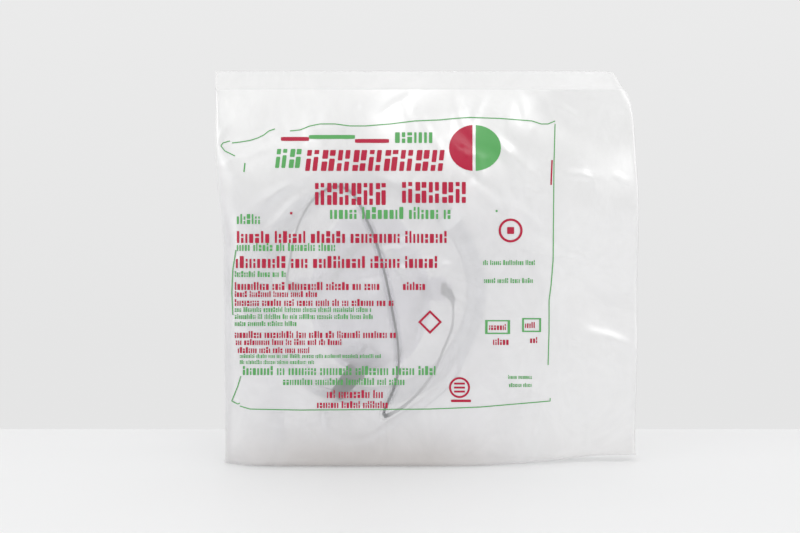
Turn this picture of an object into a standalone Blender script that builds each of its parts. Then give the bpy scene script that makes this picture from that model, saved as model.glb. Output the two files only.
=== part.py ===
"""Child's oxygen face mask with its strap and coiled tubing, sealed in a clear film pouch.

The pouch stands on its flattened base. X runs to the right across the printed front,
Y runs from the front film to the back film, and Z is up. The origin is the middle of the base.
"""

import math

import bmesh
import bpy
from mathutils import Matrix, Vector

GAP = 0.0003  # between pieces that touch

# Pouch film
POUCH_WIDTH = 0.250
POUCH_HEIGHT = 0.236
FILM = 0.00012
FOLD_WIDTH = 0.0010  # over the rounded fold at each side
WELD_WIDTH = 0.010
WELD_RUN = 0.0012  # height over which the two films close to the weld
BACK_BULGE = 0.0165
BASE_ROUND = 0.005
SIDE_ROUND = 0.036
RIGHT_ROUND = 0.006
MARGIN_WIDTH = 0.030  # flat film along the right side
MARGIN_SHARE = 0.05
TOP_DRAW = 0.030  # share by which the width draws in at the top weld
RIGHT_LIFT = 0.004
BACK_STEP = 0.0008  # height of the back film's first row over the base
VENT_RADIUS = 0.0040
COLUMNS = 32
ROWS = 20

# Folds of the film: how high they stand and how far apart they are
WELD_FOLD, WELD_FOLD_PITCH = 0.0016, 0.044
BASE_FOLD, BASE_FOLD_PITCH = 0.0015, 0.052
SIDE_FOLD, SIDE_FOLD_PITCH = 0.0013, 0.047
SLOPE_FOLD, SLOPE_FOLD_PITCH = 0.0021, 0.045
MARGIN_SWAY, MARGIN_SWAY_PITCH = 0.0024, 0.092
TOP_SWAY, TOP_SWAY_PITCH = 0.0017, 0.118

# Mask
MASK_HEIGHT = 0.104
MASK_WIDTH = 0.080
MASK_DEPTH = 0.031
MASK_WALL = 0.0011
NOSE_TAPER = 0.24
CHIN_DROP = 0.012  # how far the top of the dome lies below the mask's middle
SPOKES = 40
EAR_LENGTH = 0.010
EAR_HEIGHT = 0.014
EAR_THICK = 0.0014
EAR_RISE = 0.0032
SLOT_SPARE = 0.0008  # added to the strap all round for its slot
VENT_HOLE_RADIUS = 0.0016
VENT_RING_RADIUS = 0.0058
VENT_RING_COUNT = 6
VENT_RING_PLACE = 0.76  # how far down the dome, from its top to the rim

# Port and connector on the mask
PORT_RADIUS = 0.0055
PORT_WALL = 0.0010
PORT_LENGTH = 0.008
PORT_INLET_RADIUS = 0.0034
PORT_ROOT = 0.0035  # from the dome's outer face back to the middle of the port's round root
PORT_PLACE = 0.58
PORT_HEADING = math.radians(50)
PORT_TILT = math.radians(10)
PLUG_LENGTH = 0.006
CONNECTOR_COLLAR = 0.0057
CONNECTOR_SLEEVE = 0.0010  # wall round the tube at the far end
CONNECTOR_BODY_LENGTH = 0.020
CONNECTOR_BORE = 0.0016

# Nose clip
CLIP_WIDTH = 0.0050
CLIP_THICK = 0.0006
CLIP_SPREAD = math.radians(136)
CLIP_STAND = 0.00055  # over the facets of the dome
CLIP_PLACE = 0.72

# Strap
STRAP_WIDTH = 0.0050
STRAP_THICK = 0.0009
STRAP_CLEAR = 0.0017  # between the strap and the coil that it crosses
KNOT_SIZE = (0.0036, 0.0018, 0.0078)

# Tubing
TUBE_DIAMETER = 0.0058
COIL_DIAMETER = 0.140
COIL_TURNS_ACROSS = 2
COIL_TURNS_DEEP = 3
COIL_TO_SIDE = 0.018
COIL_TO_BASE = 0.034
LEAD_STRAIGHT = 0.005  # tube that runs straight out of the connector
TIE_WIDTH = 0.008
TIE_THICK = 0.0004
TIE_ANGLE = math.radians(42)
FUNNEL_LENGTH = 0.030
FUNNEL_RADIUS = 0.0064
FUNNEL_WALL = 0.0012

# Places that follow from the sizes
HALF_WIDTH = POUCH_WIDTH / 2
WELD_FOOT = POUCH_HEIGHT - WELD_WIDTH - WELD_RUN
HALF_FOLD = FOLD_WIDTH / 2
FRONT_BULGE = MASK_DEPTH + STRAP_WIDTH + 3 * GAP + 2 * FILM - BACK_BULGE - FOLD_WIDTH
CENTRE_X = COIL_TO_SIDE + COIL_DIAMETER / 2 - HALF_WIDTH
CENTRE_Z = COIL_TO_BASE + COIL_DIAMETER / 2
RIM_Y = HALF_FOLD + BACK_BULGE - FILM - GAP
SLOT_X = MASK_WIDTH / 2 + EAR_LENGTH / 2
EAR_REACH = MASK_WIDTH / 2 + EAR_LENGTH
FALL_START = CENTRE_X + EAR_REACH + 0.002
FALL_END = HALF_WIDTH - MARGIN_WIDTH
BULGE_PEAK = CENTRE_Z - CHIN_DROP
BACK_SHOULDER = CENTRE_Z + MASK_HEIGHT / 2 + 0.004
COIL_WIDE = COIL_TURNS_ACROSS * TUBE_DIAMETER
COIL_DEEP = COIL_TURNS_DEEP * TUBE_DIAMETER
COIL_MIDDLE_Y = 0.0017
COIL_FRONT_Y = COIL_MIDDLE_Y - COIL_DEEP / 2

MASK_PLACE = Vector((CENTRE_X, RIM_Y, CENTRE_Z))
CENTRE = Vector((CENTRE_X, 0, CENTRE_Z))


def smooth(value):
    """A soft step from 0 to 1."""
    t = min(1.0, max(0.0, value))
    return t * t * (3 - 2 * t)


def wave(phase):
    """A ripple between 0 and 1."""
    return 0.5 + 0.5 * math.cos(phase)


def band(value, start, full, fade, end):
    """1 from full to fade, coming in from start and dying out at end."""
    return smooth((value - start) / (full - start)) * (1 - smooth((value - fade) / (end - fade)))


# Film: its shape as seen from above and from the side


def across(x):
    """Share of the bulge at x: a round left side, a level middle and a flat right margin."""
    left = min(1.0, (x + HALF_WIDTH) / SIDE_ROUND)
    right = min(1.0, (HALF_WIDTH - x) / RIGHT_ROUND)
    rise = math.sqrt(max(0.0, 1 - (1 - left) ** 2))
    end = math.sqrt(max(0.0, 1 - (1 - right) ** 2))
    fall = smooth((x - FALL_START) / (FALL_END - FALL_START))
    return rise * end * (1 - (1 - MARGIN_SHARE) * fall)


def front_rise(z):
    """Share of the front bulge at a height: fullest over the mask, closing at the top weld."""
    if z < BULGE_PEAK:
        return 0.86 + 0.14 * smooth(z / BULGE_PEAK)
    return 1 - ((z - BULGE_PEAK) / (WELD_FOOT - BULGE_PEAK)) ** 2.2


def back_rise(z):
    """Share of the back bulge at a height: level behind the mask's rim."""
    if z < BACK_SHOULDER:
        return 0.94 + 0.06 * smooth(z / COIL_TO_BASE)
    return 1 - ((z - BACK_SHOULDER) / (WELD_FOOT - BACK_SHOULDER)) ** 1.8


def folds(x, z, side):
    """Outward height of the film's folds, clear of where the film lies on the mask."""
    from_side = x + HALF_WIDTH
    under_weld = band(z, BACK_SHOULDER, BACK_SHOULDER + 0.030, WELD_FOOT - 0.019, WELD_FOOT - 0.001)
    over_base = band(z, 0, 0.012, 0.008, 0.038)
    below_weld = 1 - smooth((z - WELD_FOOT + 0.035) / 0.022)
    by_side = band(from_side, 0, 0.012, 0.014, 0.032) * below_weld
    on_slope = band(x, FALL_START + 0.009, FALL_START + 0.033, FALL_END, FALL_END + 0.019) * below_weld
    lean = 0.9 * side
    height = WELD_FOLD * under_weld * wave(math.tau * x / WELD_FOLD_PITCH + lean)
    height += BASE_FOLD * over_base * wave(math.tau * x / BASE_FOLD_PITCH + 2.1 + lean)
    height += SIDE_FOLD * by_side * wave(math.tau * z / SIDE_FOLD_PITCH + 0.7 - lean)
    slanting = math.tau * (0.72 * x + 0.46 * z) / SLOPE_FOLD_PITCH
    height += SLOPE_FOLD * on_slope * wave(slanting + lean)
    return height


def sway(x, z):
    """How far both films swing to the front or the back along the flat margin and the weld."""
    margin = smooth((x - FALL_END + 0.037) / 0.050)
    top = smooth((z - WELD_FOOT + 0.055) / 0.050)
    along_margin = MARGIN_SWAY * margin * math.sin(math.tau * z / MARGIN_SWAY_PITCH + 0.6)
    along_weld = TOP_SWAY * top * math.sin(math.tau * x / TOP_SWAY_PITCH + 1.0)
    return along_margin + along_weld


def film_y(x, z, side):
    """The film's outer face, at the front for side -1 and at the back for side 1."""
    if side < 0:
        bulge = FRONT_BULGE * across(x) * front_rise(z)
    else:
        bulge = BACK_BULGE * across(x) * back_rise(z)
    return sway(x, z) + side * (HALF_FOLD + bulge + folds(x, z, side))


def film_place(x, y, z):
    """Draws the width in towards the top weld and lifts the lower right corner."""
    narrow = 1 - TOP_DRAW * smooth((z / POUCH_HEIGHT - 0.6) / 0.4)
    lift = RIGHT_LIFT * smooth((x - 0.045) / 0.070) * (1 - smooth(z / 0.050))
    return Vector((x * narrow, y, z + lift))


def film_section(x):
    """The pouch cut across at x: down the front, along the base and up the back."""
    front_low = film_y(x, 0, -1)
    back_low = film_y(x, 0, 1)
    round_off = min(BASE_ROUND, 0.3 * (back_low - front_low))
    front = []
    back = []
    for k in range(3):
        angle = math.radians(45 * k)
        height = round_off * (1 - math.cos(angle))
        front.append((front_low + round_off * (1 - math.sin(angle)), height))
        step = (0.0, min(BACK_STEP, round_off / 2), round_off)[k]
        back.append((film_y(x, step, 1), step))
    for k in range(1, ROWS + 1):
        z = round_off + (WELD_FOOT - round_off) * k / ROWS
        front.append((film_y(x, z, -1), z))
        back.append((film_y(x, z, 1), z))
    middle = [(front[0][0] + (back[0][0] - front[0][0]) * k / 4, 0.0) for k in (1, 2, 3)]
    return [film_place(x, y, z) for y, z in front[::-1] + middle + back]


# Shared makers


def material(name, colour, roughness, metallic=0.0, alpha=1.0):
    """A Principled material with one colour."""
    made = bpy.data.materials.new(name)
    made.use_nodes = True
    shader = made.node_tree.nodes["Principled BSDF"]
    shader.inputs["Base Color"].default_value = (*colour, 1)
    shader.inputs["Roughness"].default_value = roughness
    shader.inputs["Metallic"].default_value = metallic
    shader.inputs["Alpha"].default_value = alpha
    return made


def add_object(name, data, collection, finish=None):
    """A new object in a collection."""
    made = bpy.data.objects.new(name, data)
    collection.objects.link(made)
    if finish:
        made.data.materials.append(finish)
    return made


def from_bmesh(name, bm, collection, finish=None):
    """Turns a bmesh into an object whose faces point outwards."""
    bmesh.ops.recalc_face_normals(bm, faces=bm.faces)
    mesh = bpy.data.meshes.new(name)
    bm.to_mesh(mesh)
    bm.free()
    mesh.shade_smooth()
    mesh.set_sharp_from_angle(angle=math.radians(40))
    return add_object(name, mesh, collection, finish)


def as_cutter(made):
    """Keeps a cutter or a joined shape out of the model."""
    made.hide_render = True
    made.display_type = "WIRE"
    return made


def add_boolean(made, other, operation):
    """Cuts or joins another object."""
    cut = made.modifiers.new(other.name, "BOOLEAN")
    cut.operation = operation
    cut.solver = "EXACT"
    cut.object = other


def turned(name, profile, steps, collection, finish=None, ring=True):
    """A profile of (radius, height) points, outer side downwards, turned about Z.

    A ring's profile joins its own end; the others begin and end on the axis.
    """
    bm = bmesh.new()
    verts = [bm.verts.new((radius, 0, height)) for radius, height in profile]
    ends = verts[1:] + verts[:1] if ring else verts[1:]
    for start, end in zip(verts, ends):
        bm.edges.new((start, end))
    mesh = bpy.data.meshes.new(name)
    bm.to_mesh(mesh)
    bm.free()
    made = add_object(name, mesh, collection, finish)
    screw = made.modifiers.new("turn", "SCREW")
    screw.axis = "Z"
    screw.angle = math.tau
    screw.steps = steps
    screw.render_steps = steps
    screw.use_merge_vertices = True
    screw.merge_threshold = 0.00001
    screw.use_smooth_shade = True
    return made


def aim(made, place, direction):
    """Puts an object's origin at a place with its Z axis along a direction."""
    made.location = place
    made.rotation_mode = "QUATERNION"
    made.rotation_quaternion = direction.to_track_quat("Z", "Y")


def curve_points(route, spacing):
    """Points along a smooth curve through the route's own points."""
    points = []
    ends = [route[0] * 2 - route[1]] + route + [route[-1] * 2 - route[-2]]
    for k in range(1, len(ends) - 2):
        before, start, end, after = ends[k - 1 : k + 3]
        count = max(1, round((end - start).length / spacing))
        for step in range(count):
            t = step / count
            points.append(
                0.5
                * (
                    2 * start
                    + (end - before) * t
                    + (2 * before - 5 * start + 4 * end - after) * t**2
                    + (3 * start - before - 3 * end + after) * t**3
                )
            )
    points.append(route[-1])
    return points


def tube(name, route, collection, finish):
    """A round tube along a route."""
    curve = bpy.data.curves.new(name, "CURVE")
    curve.dimensions = "3D"
    curve.bevel_depth = TUBE_DIAMETER / 2
    curve.bevel_resolution = 2
    curve.use_fill_caps = True
    points = curve_points(route, TUBE_DIAMETER)
    spline = curve.splines.new("POLY")
    spline.points.add(len(points) - 1)
    for point, place in zip(spline.points, points):
        point.co = (*place, 1)
    return add_object(name, curve, collection, finish)


# Pouch


def make_pouch(collection, finish):
    """Clear film bag: one film folded at both sides and welded along the top and the bottom."""
    places = [HALF_WIDTH * (2 * (k / COLUMNS) ** 1.35 - 1) for k in range(COLUMNS + 1)]
    bm = bmesh.new()
    outer = [[bm.verts.new(point) for point in film_section(x)] for x in places]
    count = len(outer[0])
    side_rows = ROWS + 3
    vents = [nearest(outer, place, side_rows) for place in vent_places()]
    faces = []
    for i in range(COLUMNS):
        for j in range(count):
            if any(i in (c - 1, c) and j in (r - 1, r) for c, r in vents):
                continue
            k = (j + 1) % count
            faces.append([(i, j), (i, k), (i + 1, k), (i + 1, j)])
    for i in (0, COLUMNS):
        low = [(i, j) for j in range(side_rows - 2, count - side_rows + 2)]
        faces.append(low)
        for j in range(side_rows - 2):
            faces.append([(i, j), (i, j + 1), (i, count - 2 - j), (i, count - 1 - j)])
    for face in faces:
        bm.faces.new([outer[i][j] for i, j in face])
    bmesh.ops.recalc_face_normals(bm, faces=bm.faces)
    for column, row in vents:
        round_vent(outer, column, row)
    # Both walls get the same triangles, because a quad bends by more than the film is thick
    bmesh.ops.triangulate(bm, faces=bm.faces)
    bm.normal_update()
    inner = [[bm.verts.new(v.co - v.normal * FILM) for v in line] for line in outer]
    pairs = dict(zip((v for line in outer for v in line), (v for line in inner for v in line)))
    for face in list(bm.faces):
        bm.faces.new([pairs[v] for v in reversed(face.verts)])
    for column, row in vents:
        ring = vent_ring(column, row)
        for a, b in zip(ring, ring[1:] + ring[:1]):
            corners = (outer[a[0]][a[1]], outer[b[0]][b[1]], inner[b[0]][b[1]], inner[a[0]][a[1]])
            bm.faces.new(corners)
        bm.verts.remove(outer[column][row])
        bm.verts.remove(inner[column][row])
    weld_top(bm, outer, count)
    weld_base(bm, outer, side_rows)
    return from_bmesh("pouch", bm, collection, finish)


def vent_places():
    """Middles of the two vent holes punched through the back film."""
    return [(CENTRE_X, CENTRE_Z), (FALL_START + 0.046, BACK_SHOULDER + 0.020)]


def nearest(grid, place, side_rows):
    """The grid crossing on the back film that is nearest to a place."""
    spots = []
    for i in range(2, len(grid) - 2):
        for j in range(side_rows + 6, len(grid[0]) - 3):
            point = grid[i][j].co
            spots.append((math.hypot(point.x - place[0], point.z - place[1]), (i, j)))
    return min(spots)[1]


def vent_ring(column, row):
    """The eight crossings round a vent hole, in order."""
    steps = [(-1, -1), (0, -1), (1, -1), (1, 0), (1, 1), (0, 1), (-1, 1), (-1, 0)]
    return [(column + i, row + j) for i, j in steps]


def round_vent(grid, column, row):
    """Draws the crossings round a vent hole onto its circle."""
    middle = grid[column][row].co.copy()
    for i, j in vent_ring(column, row):
        vert = grid[i][j]
        away = Vector((vert.co.x - middle.x, 0, vert.co.z - middle.z)).normalized()
        spot = middle + away * VENT_RADIUS
        vert.co = Vector((spot.x, film_y(spot.x, spot.z, 1), spot.z))


def weld_top(bm, outer, count):
    """Closes the top of the bag to a flat weld of two films."""
    strip = strip_faces(bm, outer, (0, count - 1))
    for rise in (WELD_RUN, WELD_WIDTH):
        strip = extrude(bm, strip, Vector((0, 0, rise)))
        if rise == WELD_RUN:
            for vert in {v for face in strip for v in face.verts}:
                middle = sway(vert.co.x, vert.co.z)
                vert.co.y = middle + math.copysign(FILM, vert.co.y - middle)


def weld_base(bm, outer, side_rows):
    """Closes the back edge of the base to a weld that lies flat behind the bag."""
    low = side_rows + 3
    strip = strip_faces(bm, outer, (low, low + 1))
    for run in (WELD_RUN, WELD_WIDTH):
        strip = extrude(bm, strip, Vector((0, run, 0)))
        if run == WELD_RUN:
            for vert in {v for face in strip for v in face.verts}:
                lift = film_place(vert.co.x, 0, 0).z
                if vert.co.z > lift + FILM:
                    vert.co.z = lift + 2 * FILM


def strip_faces(bm, outer, rows):
    """The faces that join two rows of the outer film."""
    ends = {line[row] for line in outer for row in rows}
    return [face for face in bm.faces if ends.issuperset(face.verts)]


def extrude(bm, faces, shift):
    """Extrudes a strip of faces and returns its new end faces."""
    result = bmesh.ops.extrude_face_region(bm, geom=faces)["geom"]
    verts = [item for item in result if isinstance(item, bmesh.types.BMVert)]
    bmesh.ops.translate(bm, verts=verts, vec=shift)
    bmesh.ops.delete(bm, geom=faces, context="FACES")
    return [item for item in result if isinstance(item, bmesh.types.BMFace)]


# Mask


def mask_point(ring, angle, lift=0.0):
    """A place on the dome's outer face, in the mask's own frame, with the dome towards -Y.

    ring is 1 at the rim and 0 at the top of the dome; angle 90 degrees is the nose end.
    """
    sine = math.sin(angle)
    nose = max(0.0, sine)
    height = dome_height(ring)
    narrow = 1 - NOSE_TAPER * (0.5 + 0.5 * sine) ** 1.5
    ridge = 1 - 0.30 * nose * height
    x = MASK_WIDTH / 2 * math.cos(angle) * ring * narrow * ridge
    z = MASK_HEIGHT / 2 * sine * ring - CHIN_DROP * height
    rise = height * (1 - 0.10 * nose * ring)
    return Vector((x, -(MASK_DEPTH * rise + lift), z))


def dome_height(ring):
    """Share of the mask's depth reached at a ring: a flat rim, a steep wall and a round top."""
    foot = 0.90
    if ring >= foot:
        return MASK_WALL / MASK_DEPTH
    base = MASK_WALL / MASK_DEPTH
    return base + (1 - base) * (1 - (ring / foot) ** 2.8) ** 0.62


def mask_normal(ring, angle):
    """The dome's outward direction at a place."""
    along = mask_point(ring, angle + 0.02) - mask_point(ring, angle - 0.02)
    inward = mask_point(ring - 0.02, angle) - mask_point(ring + 0.02, angle)
    return along.cross(inward).normalized()


def make_mask(parts, cutters, frame, finish):
    """Soft clear shell: rim, dome with a nose ridge, vent holes, port and two slotted ears."""
    rings = [1.0, 0.95, 0.90, 0.895, 0.87, 0.82, 0.74, 0.62, 0.47, 0.31, 0.15]
    bm = bmesh.new()
    lines = []
    for ring in rings:
        angles = [math.tau * k / SPOKES for k in range(SPOKES)]
        lines.append([bm.verts.new(mask_point(ring, angle)) for angle in angles])
    for low, high in zip(lines, lines[1:]):
        for k in range(SPOKES):
            n = (k + 1) % SPOKES
            bm.faces.new((low[k], low[n], high[n], high[k]))
    top = bm.verts.new(mask_point(0, 0))
    for k in range(SPOKES):
        bm.faces.new((lines[-1][k], lines[-1][(k + 1) % SPOKES], top))
    mask = from_bmesh("mask_shell", bm, parts, finish)
    mask.parent = frame
    shell = mask.modifiers.new("wall", "SOLIDIFY")
    shell.thickness = MASK_WALL
    shell.offset = -1
    shell.use_even_offset = True
    for side in (-1, 1):
        add_boolean(mask, make_ear(cutters, frame, side), "UNION")
    add_boolean(mask, make_port_shape("port_outside", PORT_RADIUS, PORT_LENGTH, cutters, frame), "UNION")
    bore_end = PORT_LENGTH + PORT_WALL
    bore = make_port_shape("port_bore", PORT_RADIUS - PORT_WALL, bore_end, cutters, frame)
    add_boolean(mask, bore, "DIFFERENCE")
    add_boolean(mask, make_openings(cutters, frame), "DIFFERENCE")
    return mask


def make_ear(cutters, frame, side):
    """A tab at the side of the rim that the strap passes through."""
    bm = bmesh.new()
    inside = MASK_WIDTH / 2 * 0.80
    size = (EAR_REACH - inside, EAR_THICK, EAR_HEIGHT)
    middle = (side * (EAR_REACH + inside) / 2, -EAR_RISE - EAR_THICK / 2, 0)
    place = Matrix.Translation(middle) @ Matrix.Diagonal((*size, 1))
    bmesh.ops.create_cube(bm, size=1, matrix=place)
    outer = [e for e in bm.edges if all(v.co.x * side > SLOT_X for v in e.verts)]
    along = [e for e in outer if abs(e.verts[0].co.y - e.verts[1].co.y) > EAR_THICK / 2]
    bmesh.ops.bevel(bm, geom=along, offset=EAR_LENGTH * 0.4, segments=3, affect="EDGES")
    name = "ear_right" if side > 0 else "ear_left"
    made = as_cutter(from_bmesh(name, bm, cutters))
    made.parent = frame
    return made


def port_axis():
    """Where the port leaves the dome and the way it points, in the mask's frame."""
    level = math.cos(PORT_TILT)
    left, down = math.cos(PORT_HEADING) * level, math.sin(PORT_HEADING) * level
    return mask_point(PORT_PLACE, math.radians(-95)), Vector((-left, -math.sin(PORT_TILT), -down))


def cylinder(bm, start, direction, length, radius, segments):
    """Adds a closed cylinder that starts at a place."""
    turn = direction.to_track_quat("Z", "Y").to_matrix().to_4x4()
    place = Matrix.Translation(start + direction * length / 2) @ turn
    bmesh.ops.create_cone(
        bm, cap_ends=True, segments=segments, radius1=radius, radius2=radius, depth=length, matrix=place
    )


def make_port_shape(name, radius, length, cutters, frame):
    """A round rod along the port, with a round root inside the dome."""
    profile = [(0, length), (radius, length)]
    for step in range(7):
        angle = math.radians(15 * step)
        out = radius * math.cos(angle) if step < 6 else 0
        profile.append((out, -PORT_ROOT - radius * math.sin(angle)))
    made = as_cutter(turned(name, profile, 24, cutters, ring=False))
    made.parent = frame
    start, way = port_axis()
    aim(made, start, way)
    return made


def make_openings(cutters, frame):
    """The port's inlet, the vent holes in both cheeks and the strap slots, as one cutter."""
    bm = bmesh.new()
    start, way = port_axis()
    inward = Vector((0, 1, 0))
    cylinder(bm, start - way * PORT_ROOT, inward, 2 * PORT_RADIUS, PORT_INLET_RADIUS, 16)
    for side in (-1, 1):
        angle = math.radians(90 - side * 104)
        for ring, turn in vent_hole_places():
            place = mask_point(ring, angle + side * turn)
            normal = mask_normal(VENT_RING_PLACE, angle)
            cylinder(bm, place - normal * 0.004, normal, 0.008, VENT_HOLE_RADIUS, 8)
        slot = (STRAP_THICK + 2 * SLOT_SPARE, 4 * EAR_THICK, STRAP_WIDTH + 2 * SLOT_SPARE)
        middle = (side * SLOT_X, -EAR_RISE - EAR_THICK / 2, 0)
        place = Matrix.Translation(middle) @ Matrix.Diagonal((*slot, 1))
        bmesh.ops.create_cube(bm, size=1, matrix=place)
    made = as_cutter(from_bmesh("mask_openings", bm, cutters))
    made.parent = frame
    return made


def vent_hole_places():
    """(ring, turn) of one cheek's vent holes: one in the middle of a circle of others."""
    places = [(VENT_RING_PLACE, 0.0)]
    for k in range(VENT_RING_COUNT):
        turn = math.tau * k / VENT_RING_COUNT
        up = VENT_RING_RADIUS * math.sin(turn)
        out = VENT_RING_RADIUS * math.cos(turn)
        ring = VENT_RING_PLACE + 0.55 * out / (MASK_WIDTH / 2)
        places.append((ring, up / (MASK_HEIGHT / 2 * VENT_RING_PLACE)))
    return places


def make_clip(parts, frame, finish):
    """Soft metal strip bent over the nose end of the dome."""
    steps = 24
    ring = CLIP_PLACE
    half = CLIP_WIDTH / 2
    bm = bmesh.new()
    sections = []
    for k in range(steps + 1):
        angle = math.pi / 2 + CLIP_SPREAD * (k / steps - 0.5)
        normal = mask_normal(ring, angle)
        along = mask_point(ring, angle + 0.02) - mask_point(ring, angle - 0.02)
        across_strip = along.cross(normal).normalized()
        middle = mask_point(ring, angle) + normal * CLIP_STAND
        corners = []
        for side, lift in ((-1, 0), (1, 0), (1, CLIP_THICK), (-1, CLIP_THICK)):
            corners.append(bm.verts.new(middle + across_strip * side * half + normal * lift))
        sections.append(corners)
    for near, far in zip(sections, sections[1:]):
        for k in range(4):
            n = (k + 1) % 4
            bm.faces.new((near[k], near[n], far[n], far[k]))
    bm.faces.new(sections[0])
    bm.faces.new(sections[-1][::-1])
    made = from_bmesh("nose_clip", bm, parts, finish)
    made.parent = frame
    return made


def make_connector(parts, frame, finish):
    """Turned connector that plugs into the port and takes the tube."""
    start, way = port_axis()
    plug = PORT_RADIUS - PORT_WALL - GAP
    sleeve = TUBE_DIAMETER / 2 + CONNECTOR_SLEEVE
    bottom = -PLUG_LENGTH
    end = CONNECTOR_BODY_LENGTH
    profile = [
        (sleeve - 0.0006, end),
        (sleeve, end - 0.0008),
        (sleeve, end - 0.006),
        (CONNECTOR_COLLAR - 0.0010, end - 0.009),
        (CONNECTOR_COLLAR - 0.0008, 0.0035),
        (CONNECTOR_COLLAR, 0.0030),
        (CONNECTOR_COLLAR, 0.0),
        (plug, 0.0),
        (plug - 0.0004, bottom),
        (CONNECTOR_BORE, bottom),
        (CONNECTOR_BORE, end),
    ]
    made = turned("mask_connector", profile, 24, parts, finish)
    made.parent = frame
    aim(made, start + way * (PORT_LENGTH + GAP), way)
    return made


# Strap

# Stretch of the strap that lies against the front film, from the coil's middle
STRAP_LINE = [
    (0.0090, -0.0728),
    (0.0105, -0.0660),
    (0.0145, -0.0570),
    (0.0175, -0.0440),
    (0.0170, -0.0280),
    (0.0140, -0.0100),
    (0.0100, 0.0100),
    (0.0050, 0.0290),
    (-0.0010, 0.0440),
    (-0.0070, 0.0560),
    (-0.0130, 0.0625),
    (-0.0220, 0.0635),
]
# Stretches that pass in front of the coil, from the right ear and to the left ear
STRAP_FROM_RIGHT = [(0.0385, -0.0470), (0.0300, -0.0590), (0.0190, -0.0690)]
STRAP_TO_LEFT = [(-0.0330, 0.0560), (-0.0405, 0.0440)]


def strap_route():
    """(place, width direction) pairs from the right ear to the left ear."""
    tab_y = RIM_Y - EAR_RISE - EAR_THICK / 2
    right = Vector((CENTRE_X + SLOT_X, tab_y, CENTRE_Z))
    left = Vector((CENTRE_X - SLOT_X, tab_y, CENTRE_Z))
    up = Vector((0, 0, 1))
    deep = Vector((0, 1, 0))
    knot = KNOT_SIZE[1] + EAR_THICK / 2 + GAP
    route = [
        (right + Vector((0, knot - 0.0004, 0)), up),
        (right, up),
        (right + Vector((0.0008, -0.0040, -0.0006)), up),
        (right + Vector((0.0048, -0.0076, -0.0050)), up + deep),
        (CENTRE + Vector((0.0500, -0.0010, -0.0200)), deep),
        (CENTRE + Vector((0.0445, -0.0060, -0.0340)), deep),
    ]
    before_coil = COIL_FRONT_Y - STRAP_WIDTH / 2 - STRAP_CLEAR
    for x, z in STRAP_FROM_RIGHT:
        route.append((CENTRE + Vector((x, before_coil, z)), deep))
    for x, z in STRAP_LINE:
        front = film_y(CENTRE_X + x, CENTRE_Z + z, -1) + FILM + GAP + STRAP_WIDTH / 2
        route.append((Vector((CENTRE_X + x, front, CENTRE_Z + z)), deep))
    for x, z in STRAP_TO_LEFT:
        route.append((CENTRE + Vector((x, before_coil, z)), deep))
    route += [
        (CENTRE + Vector((-0.0452, -0.0050, 0.0300)), deep),
        (CENTRE + Vector((-0.0480, 0.0010, 0.0160)), deep),
        (left + Vector((-0.0048, -0.0076, 0.0050)), up + deep),
        (left + Vector((-0.0008, -0.0040, 0.0006)), up),
        (left, up),
        (left + Vector((0, knot - 0.0004, 0)), up),
    ]
    return route


def make_strap(parts, cutters, finish):
    """Flat elastic strap, on edge along most of its way, with a knot behind each ear."""
    route = strap_route()
    places = curve_points([place for place, _ in route], 0.004)
    widths = curve_points([width.normalized() for _, width in route], 1.0)
    keys = [place for place, _ in route]
    bm = bmesh.new()
    sections = []
    for k, place in enumerate(places):
        ahead = places[min(k + 1, len(places) - 1)] - places[max(k - 1, 0)]
        width = width_at(place, keys, widths)
        thick = ahead.cross(width).normalized() * STRAP_THICK / 2
        wide = thick.cross(ahead).normalized() * STRAP_WIDTH / 2
        corners = [place + wide + thick, place - wide + thick, place - wide - thick, place + wide - thick]
        sections.append([bm.verts.new(corner) for corner in corners])
    for near, far in zip(sections, sections[1:]):
        for k in range(4):
            n = (k + 1) % 4
            bm.faces.new((near[k], near[n], far[n], far[k]))
    bm.faces.new(sections[0])
    bm.faces.new(sections[-1][::-1])
    strap = from_bmesh("strap", bm, parts, finish)
    for name, end in (("knot_right", places[1]), ("knot_left", places[-2])):
        add_boolean(strap, make_knot(cutters, name, end), "UNION")
    return strap


def make_knot(cutters, name, end):
    """The knot that holds one end of the strap behind its ear."""
    bm = bmesh.new()
    middle = RIM_Y - EAR_RISE + GAP + KNOT_SIZE[1] / 2
    place = Matrix.Translation((end.x, middle, end.z)) @ Matrix.Diagonal((*KNOT_SIZE, 1))
    bmesh.ops.create_cube(bm, size=1, matrix=place)
    bmesh.ops.bevel(bm, geom=bm.edges, offset=0.0005, segments=1, affect="EDGES")
    return as_cutter(from_bmesh(name, bm, cutters))


def width_at(place, keys, widths):
    """The strap's width direction at a place between two route points."""
    best = None
    for k in range(len(keys) - 1):
        way = keys[k + 1] - keys[k]
        t = min(1.0, max(0.0, (place - keys[k]).dot(way) / way.length_squared))
        off = (keys[k] + way * t - place).length
        if best is None or off < best[0]:
            best = (off, widths[k].lerp(widths[k + 1], t))
    return best[1].normalized()


# Tubing


def ring_profile(inside, outside, half, corner):
    """A rectangle with round corners as a turned ring's section, outer side downwards."""
    points = []
    for middle, start in (
        ((outside - corner, half - corner), 90),
        ((outside - corner, corner - half), 0),
        ((inside + corner, corner - half), -90),
        ((inside + corner, half - corner), -180),
    ):
        for step in range(4):
            angle = math.radians(start - 30 * step)
            points.append((middle[0] + corner * math.cos(angle), middle[1] + corner * math.sin(angle)))
    return points


def make_coil(parts, finish):
    """The tubing's coil as one ring of its outer shape."""
    outside = COIL_DIAMETER / 2
    profile = ring_profile(outside - COIL_WIDE, outside, COIL_DEEP / 2, TUBE_DIAMETER / 2)
    made = turned("tube_coil", profile, 56, parts, finish)
    aim(made, CENTRE + Vector((0, COIL_MIDDLE_Y, 0)), Vector((0, -1, 0)))
    return made


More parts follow.
